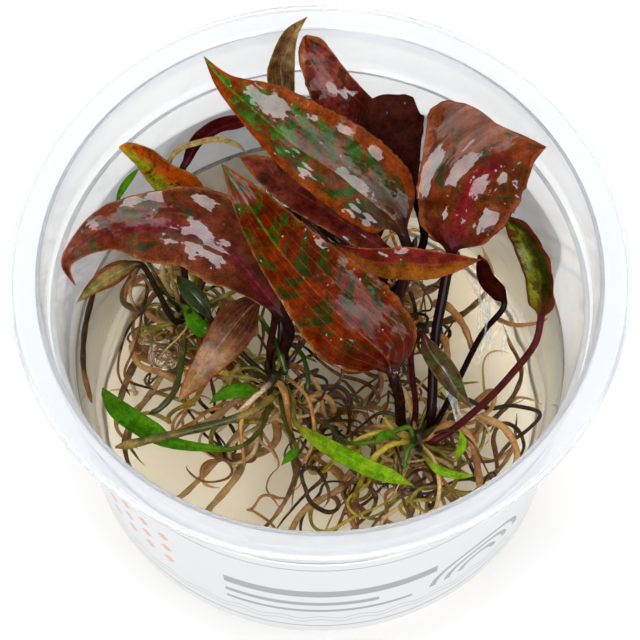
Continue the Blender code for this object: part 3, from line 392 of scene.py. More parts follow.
def joined(tree, x, y, z):
    return add_node(tree, "ShaderNodeCombineXYZ", {"X": x, "Y": y, "Z": z})


def parts_of(vector):
    made = vector.tree.nodes.new("ShaderNodeSeparateXYZ")
    feed(made.inputs[0], vector)
    return [Wire(vector.tree, socket) for socket in made.outputs]


def noise(vector, scale, detail=2.0, rough=0.5, bend=0.0):
    fed = {"Vector": vector, "Scale": scale, "Detail": detail, "Roughness": rough, "Distortion": bend}
    return add_node(vector.tree, "ShaderNodeTexNoise", fed)


def wave(value):
    return maths("SINE", value)


def line_at(value, spacing_share):
    """1 on every whole number and 0 further from it than the given share of the spacing."""
    off = abs(maths("FRACT", value + 0.5) - 0.5)
    return between(off, 0.0, spacing_share, 1.0, 0.0)


def new_tree(name, kind, inputs, outputs, **defaults):
    """A node tree with named sockets; gives back the tree, its inputs by name and its output node."""
    tree = bpy.data.node_groups.new(name, kind)
    for label, socket_type in inputs.items():
        socket = tree.interface.new_socket(label, in_out="INPUT", socket_type=socket_type)
        if label in defaults:
            socket.default_value = defaults[label]
    for label, socket_type in outputs.items():
        tree.interface.new_socket(label, in_out="OUTPUT", socket_type=socket_type)
    entry = tree.nodes.new("NodeGroupInput")
    given = {label: Wire(tree, entry.outputs[label]) for label in inputs}
    return tree, given, tree.nodes.new("NodeGroupOutput")


GEOMETRY = "NodeSocketGeometry"
NUMBER = "NodeSocketFloat"
WHOLE = "NodeSocketInt"
MATERIAL = "NodeSocketMaterial"
COLOUR = "NodeSocketColor"
VECTOR = "NodeSocketVector"


def attribute(tree, name, kind="FLOAT"):
    return add_node(tree, "GeometryNodeInputNamedAttribute", {"Name": name}, data_type=kind)


def store(shape, name, value):
    fed = {"Geometry": shape, "Name": name, "Value": value}
    return add_node(shape.tree, "GeometryNodeStoreNamedAttribute", fed, data_type="FLOAT_VECTOR",
                    domain="POINT")


def finish_tree(out, shape, material):
    """Every tree ends the same way: smooth shading, no instances left, one material."""
    tree = shape.tree
    shape = add_node(tree, "GeometryNodeSetShadeSmooth", {"Geometry": shape})
    shape = add_node(tree, "GeometryNodeRealizeInstances", {"Geometry": shape})
    shape = add_node(tree, "GeometryNodeSetMaterial", {"Geometry": shape, "Material": material})
    feed(out.inputs[0], shape)


def in_scene(name, data):
    """A new object of the scene."""
    made = bpy.data.objects.new(name, data)
    bpy.context.scene.collection.objects.link(made)
    return made


def smooth_mesh(name, shape, material, sharp=None):
    """A smooth mesh object from a bmesh; edges past the sharp angle, in degrees, stay crisp."""
    mesh = bpy.data.meshes.new(name)
    shape.to_mesh(mesh)
    shape.free()
    mesh.materials.append(material)
    mesh.shade_smooth()
    if sharp:
        mesh.set_sharp_from_angle(angle=math.radians(sharp))
    return in_scene(name, mesh)


def grown(name, base, tree, values):
    """A plain mesh object made by running a geometry tree on a base mesh."""
    made = in_scene(name, base)
    modifier = made.modifiers.new("shape", "NODES")
    modifier.node_group = tree
    for item in tree.interface.items_tree:
        if item.in_out == "INPUT" and item.name in values:
            modifier[item.identifier] = values[item.name]
    graph = bpy.context.evaluated_depsgraph_get()
    mesh = bpy.data.meshes.new_from_object(made.evaluated_get(graph), depsgraph=graph)
    made.modifiers.clear()
    made.data = mesh
    mesh.name = name
    return made


def placed(piece, slot, *nodes):
    """Rides a finished piece on the one body and says which solids it stands for."""
    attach(piece, "root")
    if nodes:
        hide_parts(*nodes)


def path_mesh(name, paths, numbers):
    """Loose edges through each path's points, with a number at every point for each name given."""
    points = []
    edges = []
    for path in paths:
        edges += [(len(points) + k, len(points) + k + 1) for k in range(len(path) - 1)]
        points += [tuple(MM * c for c in p) for p in path]
    mesh = bpy.data.meshes.new(name)
    mesh.from_pydata(points, edges, [])
    for label, values in numbers.items():
        values = np.asarray(values, float)
        kind, field = ("FLOAT", "value") if values.ndim == 1 else ("FLOAT_VECTOR", "vector")
        mesh.attributes.new(label, kind, "POINT").data.foreach_set(field, values.ravel())
    return mesh


class Strands:
    """Round strands of changing thickness in mm, which become one piece."""

    def __init__(self):
        self.paths = []
        self.thick = []

    def add(self, path, thick):
        self.paths.append(path)
        self.thick += list(thick)

    def place(self, name, tree, sides, finish, slot, *nodes):
        base = path_mesh(name, self.paths, {"thick": MM * np.array(self.thick)})
        placed(grown(name, base, tree, {"Sides": sides, "Finish": finish}), slot, *nodes)


def smooth_path(points, steps):
    """A curve through the given rows of numbers, and each point's place in the list."""
    points = [np.array(p, float) for p in points]
    guide = [2.0 * points[0] - points[1]] + points + [2.0 * points[-1] - points[-2]]
    made = []
    for i in range(1, len(guide) - 2):
        a, b, c, d = guide[i - 1:i + 3]
        for j in range(steps):
            t = j / steps
            spot = (2.0 * b + (c - a) * t + (2.0 * a - 5.0 * b + 4.0 * c - d) * t * t
                    + (3.0 * b - a - 3.0 * c + d) * t * t * t) / 2.0
            made.append(np.append(spot, i - 1 + t))
    made.append(np.append(points[-1], len(points) - 1.0))
    return np.array(made)


def even_path(path, step):
    """The same curve with its points about one step apart."""
    far = np.append(0.0, np.cumsum(np.linalg.norm(np.diff(path[:, :3], axis=0), axis=1)))
    count = max(int(far[-1] / step) + 1, 4)
    want = np.linspace(0.0, far[-1], count)
    return np.column_stack([np.interp(want, far, column) for column in path.T])


def fine_path(points, steps, step):
    """Places about one step apart on the smooth curve through some points."""
    return even_path(smooth_path(points, steps), step)[:, :3]


def shares(path):
    """How far along a path each of its points is, from 0 to 1."""
    return np.linspace(0.0, 1.0, len(path))


def polar(radius, turn, height):
    return MM * radius * math.cos(turn), MM * radius * math.sin(turn), MM * height


def beside(x, y, turn, rows):
    """Rows of out, side and height, turned about x and y."""
    return [(x + out * math.cos(turn) - side * math.sin(turn),
             y + out * math.sin(turn) + side * math.cos(turn), z) for out, side, z in rows]


def unit(vector):
    return vector / np.linalg.norm(vector)


SHEATH = 1.35
SHEATH_LENGTH = 3.0
STALK_SINK = 1.5
STALK_TIP = 0.12


def leaf_base(name, crown, azimuth, radius, points, face, step):
    """The rows that a leaf is built on: one point of its stalk or midrib each."""
    x, y = CROWNS[crown]
    reach = CROWN_RADIUS + GAP + radius
    foot = ((0.5 * reach, 0.0, STALK_START - STALK_SINK), (reach, 0.0, STALK_START))
    guide = beside(x, y, math.radians(azimuth), foot) + points
    first = max(k for k, point in enumerate(guide) if len(point) == 3)
    guide = [point if len(point) > 3 else (*point, radius, radius) for point in guide]
    path = even_path(smooth_path(guide, 24), step)
    place = path[:, 5]
    spots = path[:, :3]
    along = np.gradient(spots, axis=0)
    along /= np.linalg.norm(along, axis=1)[:, None]
    far = np.append(0.0, np.cumsum(np.linalg.norm(np.diff(spots, axis=0), axis=1)))
    start = np.interp(first, place, far)
    ups = np.zeros_like(spots)
    aim = np.array(face, float)
    for k in range(len(spots) - 1, -1, -1):
        if place[k] < first:
            aim = ups[k + 1]
        ups[k] = unit(aim - aim.dot(along[k]) * along[k])
    blade = np.clip((far - start) / (far[-1] - start), 0.0, 1.0)
    swell = 1.0 + (SHEATH - 1.0) * np.clip(1.0 - far / SHEATH_LENGTH, 0.0, 1.0)
    stem = radius * swell * np.clip((1.0 - blade) * 1.6, STALK_TIP, 1.0)
    left, right = np.maximum(path[:, 3], 0.0), np.maximum(path[:, 4], 0.0)
    left[0] = right[0] = stem[0] = 0.0
    spots[0] = spots[1]
    return path_mesh(name, [spots], {
        "left": MM * left, "right": MM * right, "stem": MM * stem, "up": ups, "side": np.cross(ups, along),
        "flat": np.clip((far - start) / (4.0 * radius + 1.0), 0.0, 1.0), "blade": blade, "far": far - start,
    }), len(spots)


FOLD_SOFT = 0.15
MERGE_GAP = 0.000008
FULL_TURN = 6.283185
RUFFLE_TURN = 6.283


def leaf_tree():
    """Bends a grid round a midrib: a round stalk that opens into a thin veined blade."""
    tree, given, out = new_tree("leaf blade", "GeometryNodeTree", {
        "Rib": GEOMETRY, "Rows": WHOLE, "Columns": WHOLE, "Thickness": NUMBER, "Fold": NUMBER,
        "Ruffle": NUMBER, "Ruffle Length": NUMBER, "Quilting": NUMBER, "Lumps": NUMBER, "Seed": NUMBER,
        "Finish": MATERIAL,
    }, {"Leaf": GEOMETRY})
    rib = given["Rib"]
    grid = add_node(tree, "GeometryNodeMeshGrid", {
        "Size X": 1.0, "Size Y": 1.0, "Vertices X": given["Rows"], "Vertices Y": given["Columns"]})
    x, y, _ = parts_of(add_node(tree, "GeometryNodeInputPosition"))
    row = maths("ROUND", (x + 0.5) * (given["Rows"] - 1.0))
    round_share = 0.5 - y

    def on_rib(name, kind="FLOAT"):
        wanted = attribute(tree, name, kind) if name != "position" else add_node(
            tree, "GeometryNodeInputPosition")
        fed = {"Geometry": rib, "Value": wanted, "Index": row}
        return add_node(tree, "GeometryNodeSampleIndex", fed, data_type=kind, domain="POINT")

    across = abs(round_share * 4.0 - 2.0) - 1.0
    upper = round_share < 0.5
    face = upper * 2.0 - 1.0
    is_left = across > 0.0
    stem = on_rib("stem")
    blade = on_rib("blade")
    far = on_rib("far")
    flat = between(on_rib("flat"), 0.0, 1.0)
    seed = given["Seed"]
    share = abs(across)
    rough_edge = noise(joined(tree, far * 0.7, is_left * 7.0, seed), 1.0, 4.0, 0.75)
    half = mixed(is_left, on_rib("right"), on_rib("left")) * (0.90 + 0.20 * rough_edge * flat)
    # Midsurface: a soft fold, wavy margins, quilting between the side veins and slow lumps
    rise = ((across * across + FOLD_SOFT * FOLD_SOFT) ** 0.5 - FOLD_SOFT) * half
    rise = rise * maths("SINE", given["Fold"])
    phase = far * RUFFLE_TURN / given["Ruffle Length"] + is_left * 2.1 + seed * 1.7
    swing = wave(phase) + 0.6 * wave(phase * 2.3 + 1.0)
    margin = share * share * share
    ruffle = swing * given["Ruffle"] * margin * between(half, 0.0005, 0.004)
    vein = vein_phase(share, blade)
    quilt = (1.0 - line_at(vein, 0.5)) * given["Quilting"] * between(half, 0.001, 0.004)
    wide = across * half * 1000.0
    lump = noise(joined(tree, far, wide, seed * 3.0), 0.22, 2.0, 0.5) - 0.5
    fine = noise(joined(tree, far, wide, seed + 9.0), 0.9, 2.0, 0.6) - 0.5
    middle = rise + ruffle + quilt + (lump + 0.25 * fine) * given["Lumps"] * between(share, 0.0, 0.3)
    # Thickness: thin at the margin, a groove above the midrib and a ridge below it
    thick = maths("MINIMUM", given["Thickness"], half) * 0.5 * (1.0 - share ** 6.0) ** 0.5
    rib_share = maths("EXPONENT", (wide / (0.3 + stem * 700.0)) ** 2.0 * -1.0)
    ridge = rib_share * mixed(upper, stem * -1.1, stem * -0.22)
    ridge = ridge * between(blade, 0.0, 0.97, 1.0, 0.0, "LINEAR")
    sheet_up = middle + face * thick + ridge
    sheet_side = across * half * maths("COSINE", given["Fold"])
    turn = round_share * FULL_TURN
    stem_side = stem * maths("COSINE", turn)
    stem_up = stem * maths("SINE", turn)
    spot = (on_rib("position", "FLOAT_VECTOR")
            + on_rib("side", "FLOAT_VECTOR") * mixed(flat, stem_side, sheet_side)
            + on_rib("up", "FLOAT_VECTOR") * mixed(flat, stem_up, sheet_up))
    shape = add_node(tree, "GeometryNodeSetPosition", {"Geometry": store(
        store(grid, "place", joined(tree, blade, across, flat)),
        "spot", joined(tree, far, wide, face)), "Position": spot})
    shape = add_node(tree, "GeometryNodeMergeByDistance", {"Geometry": shape, "Distance": MERGE_GAP})
    finish_tree(out, shape, given["Finish"])
    return tree


VEINS_ACROSS = 3.6
VEINS_ALONG = 1.9


def vein_phase(share, blade):
    """A whole number on each side vein, which leaves the midrib and bends along the margin to the tip."""
    return share * VEINS_ACROSS - blade * (1.0 - share) * VEINS_ALONG


def strand_tree():
    """A round strand of changing thickness along every path of a base mesh."""
    tree, given, out = new_tree("strand", "GeometryNodeTree", {
        "Paths": GEOMETRY, "Sides": WHOLE, "Finish": MATERIAL}, {"Strands": GEOMETRY})
    curve = add_node(tree, "GeometryNodeMeshToCurve", {"Mesh": given["Paths"]})
    ring = add_node(tree, "GeometryNodeCurvePrimitiveCircle", {"Resolution": given["Sides"], "Radius": 1.0})
    shape = add_node(tree, "GeometryNodeCurveToMesh", {
        "Curve": curve, "Profile Curve": ring, "Scale": attribute(tree, "thick"), "Fill Caps": True})
    finish_tree(out, shape, given["Finish"])
    return tree


def shader_material(name):
    """A material with one Principled shader; gives back the material, its tree and the shader."""
    made = bpy.data.materials.new(name)
    made.use_nodes = True
    tree = made.node_tree
    return made, tree, tree.nodes["Principled BSDF"]


def place_in(tree):
    """The place on the object, in metres."""
    return add_node(tree, "ShaderNodeTexCoord", output="Object")


def set_shader(shader, **values):
    """Sets sockets of a shader by name, with _ for a space."""
    for name, value in values.items():
        feed(shader.inputs[name.replace("_", " ")], value)


def bumped(height, depth):
    """A normal from a height that runs from 0 to 1; depth is in metres."""
    return add_node(height.tree, "ShaderNodeBump", {"Height": height, "Distance": depth, "Strength": 1.0})


SHEETS = 7
DAMP_SHEETS = 2


def marking_group():
    """The markings of one leaf blade: ground, blotches, veins, midrib, margin, damp and wet patches, a darker
    base that is partly painted shade and a pale edge line that is partly a painted highlight.
    """
    inputs = {label: NUMBER if label in ("Streaks", "Veins", "Film") else COLOUR for label in LOOK_INPUTS}
    inputs.update({label: NUMBER for label in ("Seed", "Split", "Rim", "Reach", "Band")})
    inputs.update({"Sheet %d" % k: VECTOR for k in range(SHEETS + DAMP_SHEETS)}, Place=VECTOR, Spot=VECTOR)
    tree, given, out = new_tree("leaf marking", "ShaderNodeTree", inputs, {
        "Colour": COLOUR, "Roughness": NUMBER, "Film": NUMBER, "Height": NUMBER}, Rim=0.86, Reach=0.3)
    blade, across, flat = parts_of(given["Place"])
    far, wide, face = parts_of(given["Spot"])
    seed = given["Seed"]
    share = abs(across)
    off = abs(wide)

    def cloud_at(scale, shift, detail=3.0, rough=0.58, slow=1.0):
        return noise(joined(tree, far * slow, wide, seed + shift), scale, detail, rough)

    fine = cloud_at(2.6, 0.0, 4.0, 0.65)
    cloud = cloud_at(0.16, 4.0)
    # Blotches run outwards and forwards from the midrib, with ragged ends
    wander = (cloud_at(0.3, 8.0) - 0.5) * 4.0
    streak = noise(joined(tree, (far - off * 1.1 + wander) * 0.38, (far + off) * 0.13,
                          seed * 5.0 + (wide > 0.0) * 3.0), 1.0, 4.0, 0.6) + (fine - 0.5) * 0.14
    edge = 0.84 - given["Streaks"]
    streak = between(streak, edge, edge + 0.05)
    vein = line_at(vein_phase(share, blade), 0.055)
    vein = vein * between(share, 0.05, 0.15) * between(share, 0.8, 0.95, 1.0, 0.0)
    tip = between(blade, 0.45, 0.75)
    broken = noise(joined(tree, far, seed, 0.0), 0.55, 2.0, 0.5)
    middle = between(off - tip * 0.05, 0.05, 0.2, 1.0, 0.0) * between(broken, 0.42, 0.55, 0.45, 1.0)
    tipward = between(blade, 0.80, 1.0) * 0.6
    margin = between(share + tipward + (fine - 0.5) * 0.12 + (cloud - 0.5) * 0.2,
                     given["Rim"], given["Rim"] + 0.12)
    tone = between(cloud + across * given["Split"] * 0.3, 0.38, 0.62)
    colour = mixed(tone, given["Ground"], given["Warm"])
    # Darker and redder towards the stalk: partly the leaf's own colour, partly painted shade where the blade
    # cups near the crown
    darker_base_and_shade = between(blade + (cloud - 0.5) * 0.3, given["Reach"] - 0.28, given["Reach"], 0.85, 0.0)
    band = between(off + (cloud_at(0.4, 5.0) - 0.5) * 1.6,
                   given["Band"] * 0.6, given["Band"] * 1.3 + 0.01, 0.8, 0.0)
    band = band * between(blade, 0.6, 0.85, 1.0, 0.0) * (given["Band"] > 0.0)
    colour = mixed(streak * 0.92 * (1.0 - darker_base_and_shade * 0.8), colour, given["Streak"] * (1.0 + tip * 0.6))
    colour = mixed(darker_base_and_shade, colour, given["Base"])
    colour = mixed(margin * 0.85, colour, given["Margin"])
    colour = mixed(band, colour, given["Midrib"])
    # A thin pale line along the very edge: partly a paler rim, partly a painted highlight of water beads on
    # the margin
    colour = mixed(between(share, 0.95, 0.985) * 0.55, colour, given["Margin"] * 1.5 + (0.05, 0.035, 0.02))
    colour = mixed(vein * given["Veins"], colour, given["Vein"])
    colour = mixed(middle * 0.8, colour, mixed(tip, given["Vein"], given["Midrib"]))
    colour = mixed(between(face, -0.2, 0.2, 1.0, 0.0), colour, given["Under"])
    colour = mixed(flat, given["Stalk"], colour)
    # Cells, slow changes of tone and small dark flecks
    colour = colour * between(fine, 0.2, 0.8, 0.66, 1.34) * between(cloud_at(0.5, 3.0), 0.3, 0.7, 0.58, 1.34)
    fleck = between(cloud_at(5.0, 2.0), 0.64, 0.72)
    colour = colour * (0.88 - fleck * 0.4)
    # Sheets of water with sharp ends at given places, small ones anywhere, and dew
    ragged = (cloud_at(0.8, 6.0, 5.0, 0.7, 0.45) - 0.5) * 2.6
    ragged = ragged + (cloud_at(0.3, 7.0, 2.0, 0.5, 0.6) - 0.5) * 1.6

    def sheets(first, last, soft):
        field = -9.0
        for k in range(first, last):
            at_far, at_wide, size = parts_of(given["Sheet %d" % k])
            gap = (((far - at_far) * 0.55) ** 2.0 + (wide - at_wide) ** 2.0) ** 0.5
            field = maths("MAXIMUM", 1.0 - gap / (size * 1.15 + 0.001), field)
        return between(field + ragged, 0.10, 0.10 + soft) * between(field, -0.9, -0.6)

    small = between(cloud_at(0.5, 16.0, 5.0, 0.6, 0.5),
                    0.80 - given["Film"] * 0.5, 0.81 - given["Film"] * 0.5)
    film = maths("MAXIMUM", sheets(0, SHEETS, 0.05), small)
    damp = sheets(SHEETS, SHEETS + DAMP_SHEETS, 0.3)
    beads = add_node(tree, "ShaderNodeTexVoronoi", {"Vector": joined(tree, far, wide, seed), "Scale": 0.75})
    dew = between(beads, 0.13, 0.20, 1.0, 0.0) * between(cloud_at(0.3, 14.0), 0.56, 0.60)
    veil = between(cloud_at(0.5, 18.0, 4.0, 0.6, 0.2), 0.32, 0.68, 0.05, 0.32)
    sheen = between(cloud_at(0.35, 19.0, 2.0), 0.3, 0.7, 0.65, 0.98)
    coat = maths("MAXIMUM", maths("MAXIMUM", film * sheen, dew * 0.9), damp * veil)
    feed(out.inputs["Colour"], colour)
    feed(out.inputs["Roughness"], 0.55 + (fine - 0.5) * 0.2)
    feed(out.inputs["Film"], mixed(flat, 0.12, coat + 0.01) * between(face, -0.2, 0.2, 0.3, 1.0))
    feed(out.inputs["Height"], fine * (0.45 - film * 0.38) + vein * 0.15 + film * 0.2 + dew)
    return tree


COAT_ROUGHNESS = 0.035
LEAF_GRAIN = 0.00006


def leaf_material(name, group, look, seed, sheets, damp):
    """A leaf's own finish: its colours, and where films of water and damp skin lie on it."""
    made, tree, shader = shader_material(name)
    fed = dict(zip(LOOK_INPUTS, look), Seed=seed)
    fed.update(*look[len(LOOK_INPUTS):])
    fed.update({"Sheet %d" % k: spot for k, spot in enumerate(sheets)})
    fed.update({"Sheet %d" % (SHEETS + k): spot for k, spot in enumerate(damp)})
    for label in ("Place", "Spot"):
        fed[label] = add_node(tree, "ShaderNodeAttribute", output="Vector", attribute_name=label.lower())
    marks = tree.nodes.new("ShaderNodeGroup")
    marks.node_tree = group
    for label, value in fed.items():
        feed(marks.inputs[label], value)
    colour, rough, film, height = (Wire(tree, socket) for socket in marks.outputs)
    set_shader(shader, Base_Color=colour, Roughness=rough, Coat_Weight=film, Coat_Roughness=COAT_ROUGHNESS,
               Coat_IOR=1.5, IOR=1.45, Specular_IOR_Level=0.0, Normal=bumped(height, LEAF_GRAIN))
    return made


ROOT_BARE = (MM * 27.8, MM * 29.6)
ROOT_GRAIN = 0.00005


def root_material(name, colour, pale, seed, above=None):
    """Wet root skin with paler and darker stretches and a fine grain; above the gel it can be darker."""
    made, tree, shader = shader_material(name)
    at = place_in(tree) + (seed, seed, seed)
    slow = noise(at, 75.0, 2.0, 0.5)
    cloud = noise(at, 420.0, 3.0, 0.6)
    fine = noise(at, 2200.0, 3.0, 0.6)
    tone = mixed(between(slow + (cloud - 0.5) * 0.5, 0.40, 0.62), colour, pale)
    bare = between(parts_of(at)[2] - seed, *ROOT_BARE)
    if above:
        tone = mixed(bare, tone, above)
    set_shader(shader, Base_Color=tone * between(fine, 0.2, 0.8, 0.65, 1.3),
               Roughness=between(fine, 0.2, 0.8, 0.3, 0.55), Specular_IOR_Level=0.05, Coat_Weight=bare * 0.3,
               Coat_Roughness=0.06, Normal=bumped(fine, ROOT_GRAIN))
    return made


def see_through(tree, shader, tint):
    """Lets light reach what a clear wall covers: shadow rays pass it with a tint."""
    path = tree.nodes.new("ShaderNodeLightPath")
    clear = add_node(tree, "ShaderNodeBsdfTransparent", {"Color": tint})
    blend = tree.nodes.new("ShaderNodeMixShader")
    tree.links.new(path.outputs["Is Shadow Ray"], blend.inputs[0])
    tree.links.new(shader.outputs[0], blend.inputs[1])
    tree.links.new(clear.socket, blend.inputs[2])
    tree.links.new(blend.outputs[0], tree.nodes["Material Output"].inputs["Surface"])


FOOT_FROST = (MM * 3.5, MM * 5.5)
# Heights over which the rim turns greyer and bluer: painted shade
RIM_PAINTED_SHADE = (MM * 56.0, MM * 58.0)
PLASTIC_IOR = 1.38


def plastic_material():
    """Clear moulded plastic, a little milky, with faint flow marks and scuffs, a frosted foot and a greyer
    rim that is painted shade.
    """
    made, tree, shader = shader_material("clear moulded plastic")
    at = place_in(tree)
    flow = noise(at, 26.0, 3.0, 0.5)
    scuff = noise(at, 300.0, 4.0, 0.6)
    height = parts_of(at)[2]
    foot = between(height, *FOOT_FROST, 0.34, 0.0)
    # The top of the rim turns greyer and bluer: painted shade
    tint = mixed(between(height, *RIM_PAINTED_SHADE), (0.975, 0.985, 0.995), (0.86, 0.88, 0.915))
    set_shader(shader, Base_Color=tint, Roughness=between(scuff, 0.35, 0.75, 0.08, 0.20) + foot,
               IOR=PLASTIC_IOR, Transmission_Weight=0.80, Normal=bumped(flow + scuff * 0.01, 0.0003))
    see_through(tree, shader, (0.985, 0.99, 0.995))
    return made


GEL_COLOUR = (0.92, 0.73, 0.34)
GEL_DENSITY = 14.5
WATER_IOR = 1.333


def gel_material():
    """Clear cream nutrient gel."""
    made, tree, shader = shader_material("clear nutrient gel")
    at = place_in(tree)
    swirl = noise(at, 60.0, 3.0, 0.5, 0.6)
    cloudy = noise(at, 95.0, 4.0, 0.55, 1.2)
    tint = mixed(between(cloudy, 0.42, 0.62), (1.0, 0.995, 0.985), (0.975, 0.955, 0.91))
    set_shader(shader, Base_Color=tint, Roughness=0.0, IOR=1.336, Transmission_Weight=1.0,
               Normal=bumped(swirl, 0.0003))
    see_through(tree, shader, (1.0, 0.995, 0.98))
    volume = add_node(tree, "ShaderNodeVolumeAbsorption", {"Color": GEL_COLOUR, "Density": GEL_DENSITY})
    tree.links.new(volume.socket, tree.nodes["Material Output"].inputs["Volume"])
    return made


def clear_material(name, ior, shadow, waves, depth):
    """A clear drop or bubble with a slightly uneven skin."""
    made, tree, shader = shader_material(name)
    set_shader(shader, Base_Color=(1.0, 1.0, 1.0), Roughness=0.0, IOR=ior, Transmission_Weight=1.0,
               Normal=bumped(noise(place_in(tree), *waves), depth))
    see_through(tree, shader, (shadow, shadow, shadow))
    return made


def thread_material():
    """Thin milky gel."""
    made, tree, shader = shader_material("gel thread")
    milk = noise(place_in(tree), 500.0, 3.0)
    set_shader(shader, Base_Color=(0.95, 0.94, 0.92), Roughness=0.2, Coat_Weight=0.3, Coat_Roughness=0.03,
               Alpha=between(milk, 0.3, 0.7, 0.08, 0.30), Normal=bumped(milk, 0.00004))
    return made


def turned(name, profile, material):
    """A turned piece whose profile (radius, height) runs from the axis round to the axis again."""
    shape = bmesh.new()
    rings = [[shape.verts.new(polar(radius, 2.0 * math.pi * k / TURN_STEPS, height))
              for k in range(TURN_STEPS)] for radius, height in profile[1:-1]]
    for k in range(TURN_STEPS):
        after = (k + 1) % TURN_STEPS
        for low, high in zip(rings, rings[1:]):
            shape.faces.new((low[k], low[after], high[after], high[k]))
    for ring, (_, height) in ((rings[0], profile[0]), (rings[-1], profile[-1])):
        middle = shape.verts.new((0.0, 0.0, MM * height))
        for k in range(TURN_STEPS):
            shape.faces.new((ring[k], ring[(k + 1) % TURN_STEPS], middle))
    bmesh.ops.recalc_face_normals(shape, faces=shape.faces)
    return smooth_mesh(name, shape, material)


def rounded(profile, radius, steps=4):
    """The same profile with an arc at each corner between its ends."""
    points = [np.array(p, float) for p in profile]
    made = [points[0]]
    for before, corner, after in zip(points, points[1:], points[2:]):
        cut = min(radius, 0.45 * np.linalg.norm(before - corner), 0.45 * np.linalg.norm(after - corner))
        start = corner + cut * unit(before - corner)
        end = corner + cut * unit(after - corner)
        made += [(1.0 - t) ** 2 * start + 2.0 * t * (1.0 - t) * corner + t * t * end
                 for t in (k / steps for k in range(steps + 1))]
    return made + [points[-1]]


def wall_radius(height):
    """Inner radius of the tapered wall."""
    return LEDGE_RADIUS - DRAFT * (LEDGE_HEIGHT - height)


def make_cup():
    inner = [
        (0.0, FLOOR_TOP), (FLOOR_RADIUS, FLOOR_TOP), (wall_radius(BEND_LOW) - BEND_CUT, BEND_LOW),
        (wall_radius(BEND_HIGH), BEND_HIGH), (LEDGE_RADIUS, LEDGE_HEIGHT),
        (LEDGE_RADIUS + LEDGE_WIDTH, LEDGE_HEIGHT + LEDGE_RISE),
        (COLLAR_RADIUS, CUP_HEIGHT - COLLAR_BEND), (COLLAR_RADIUS + COLLAR_BEND, CUP_HEIGHT),
    ]
    lip = [
        (RIM_RADIUS - LIP_BEND, CUP_HEIGHT), (RIM_RADIUS, CUP_HEIGHT - LIP_BEND),
        (RIM_RADIUS, CUP_HEIGHT - LIP_DROP), (RIM_RADIUS - LIP_THICK, CUP_HEIGHT - LIP_DROP),
        (RIM_RADIUS - LIP_THICK, CUP_HEIGHT - WALL), (COLLAR_RADIUS + WALL, CUP_HEIGHT - WALL),
    ]
    outer = [
        (LEDGE_RADIUS + LEDGE_WIDTH + WALL, LEDGE_HEIGHT + LEDGE_RISE + BEND_CUT),
        (LEDGE_RADIUS + WALL, LEDGE_HEIGHT - BEND_CUT),
        (wall_radius(BEND_HIGH) + WALL, BEND_HIGH - WALL), (FOOT_RADIUS + FOOT_SLOPE, WALL),
        (FOOT_RADIUS, 0.0), (FOOT_RADIUS - FOOT_WIDTH, 0.0),
        (FOOT_RADIUS - FOOT_WIDTH - FOOT_SLOPE, FOOT_DEPTH), (0.0, FOOT_DEPTH),
    ]
    cup = turned("clear_cup", rounded(inner + lip + outer, CUP_BEND), plastic_material())
    placed(cup, "clear_plastic", "cup")


GEL_OVERLAP = 0.1
GEL_RINGS = 64


def gel_height(radius, turn):
    """The set gel's top: nearly level, with slow waves and a collar drawn up round each crown."""
    x, y = radius * math.cos(turn), radius * math.sin(turn)
    height = 0.16 * math.sin(0.31 * x + 1.3) * math.cos(0.27 * y) + 0.10 * math.sin(0.8 * x - 0.55 * y)
    for cx, cy in CROWNS.values():
        near = math.hypot(x - cx, y - cy)
        height += 0.9 * math.exp(-(near / 3.6) ** 2) + 0.18 * math.exp(-((near - 6.5) / 1.6) ** 2)
    edge = wall_radius(GEL_TOP) - radius
    return GEL_TOP + height * min(1.0, max(0.0, edge / 14.0)) + MENISCUS * math.exp(-edge / 0.9)


def make_gel():
    rise = wall_radius(GEL_TOP) + GEL_OVERLAP
    low = FLOOR_TOP - GEL_OVERLAP
    side = [(0.0, low), (FLOOR_RADIUS - 0.1, low), (wall_radius(BEND_LOW) - 0.3, BEND_LOW - GEL_OVERLAP)]
    side += [(wall_radius(h) + GEL_OVERLAP, h) for h in (BEND_HIGH, 10.0, 19.0, GEL_TOP - 1.0)]
    top = [(rise * (1.0 - (k / GEL_RINGS) ** 1.3), GEL_TOP) for k in range(GEL_RINGS)]
    gel = turned("nutrient_gel", side + top + [(0.0, GEL_TOP)], gel_material())
    for vertex in gel.data.vertices:
        x, y, z = (c / MM for c in vertex.co)
        if z > GEL_TOP - 0.5:
            vertex.co.z = MM * gel_height(math.hypot(x, y), math.atan2(y, x))
    placed(gel, "gel", "gel")


STUBS = 9
CROWN_ROWS = 22


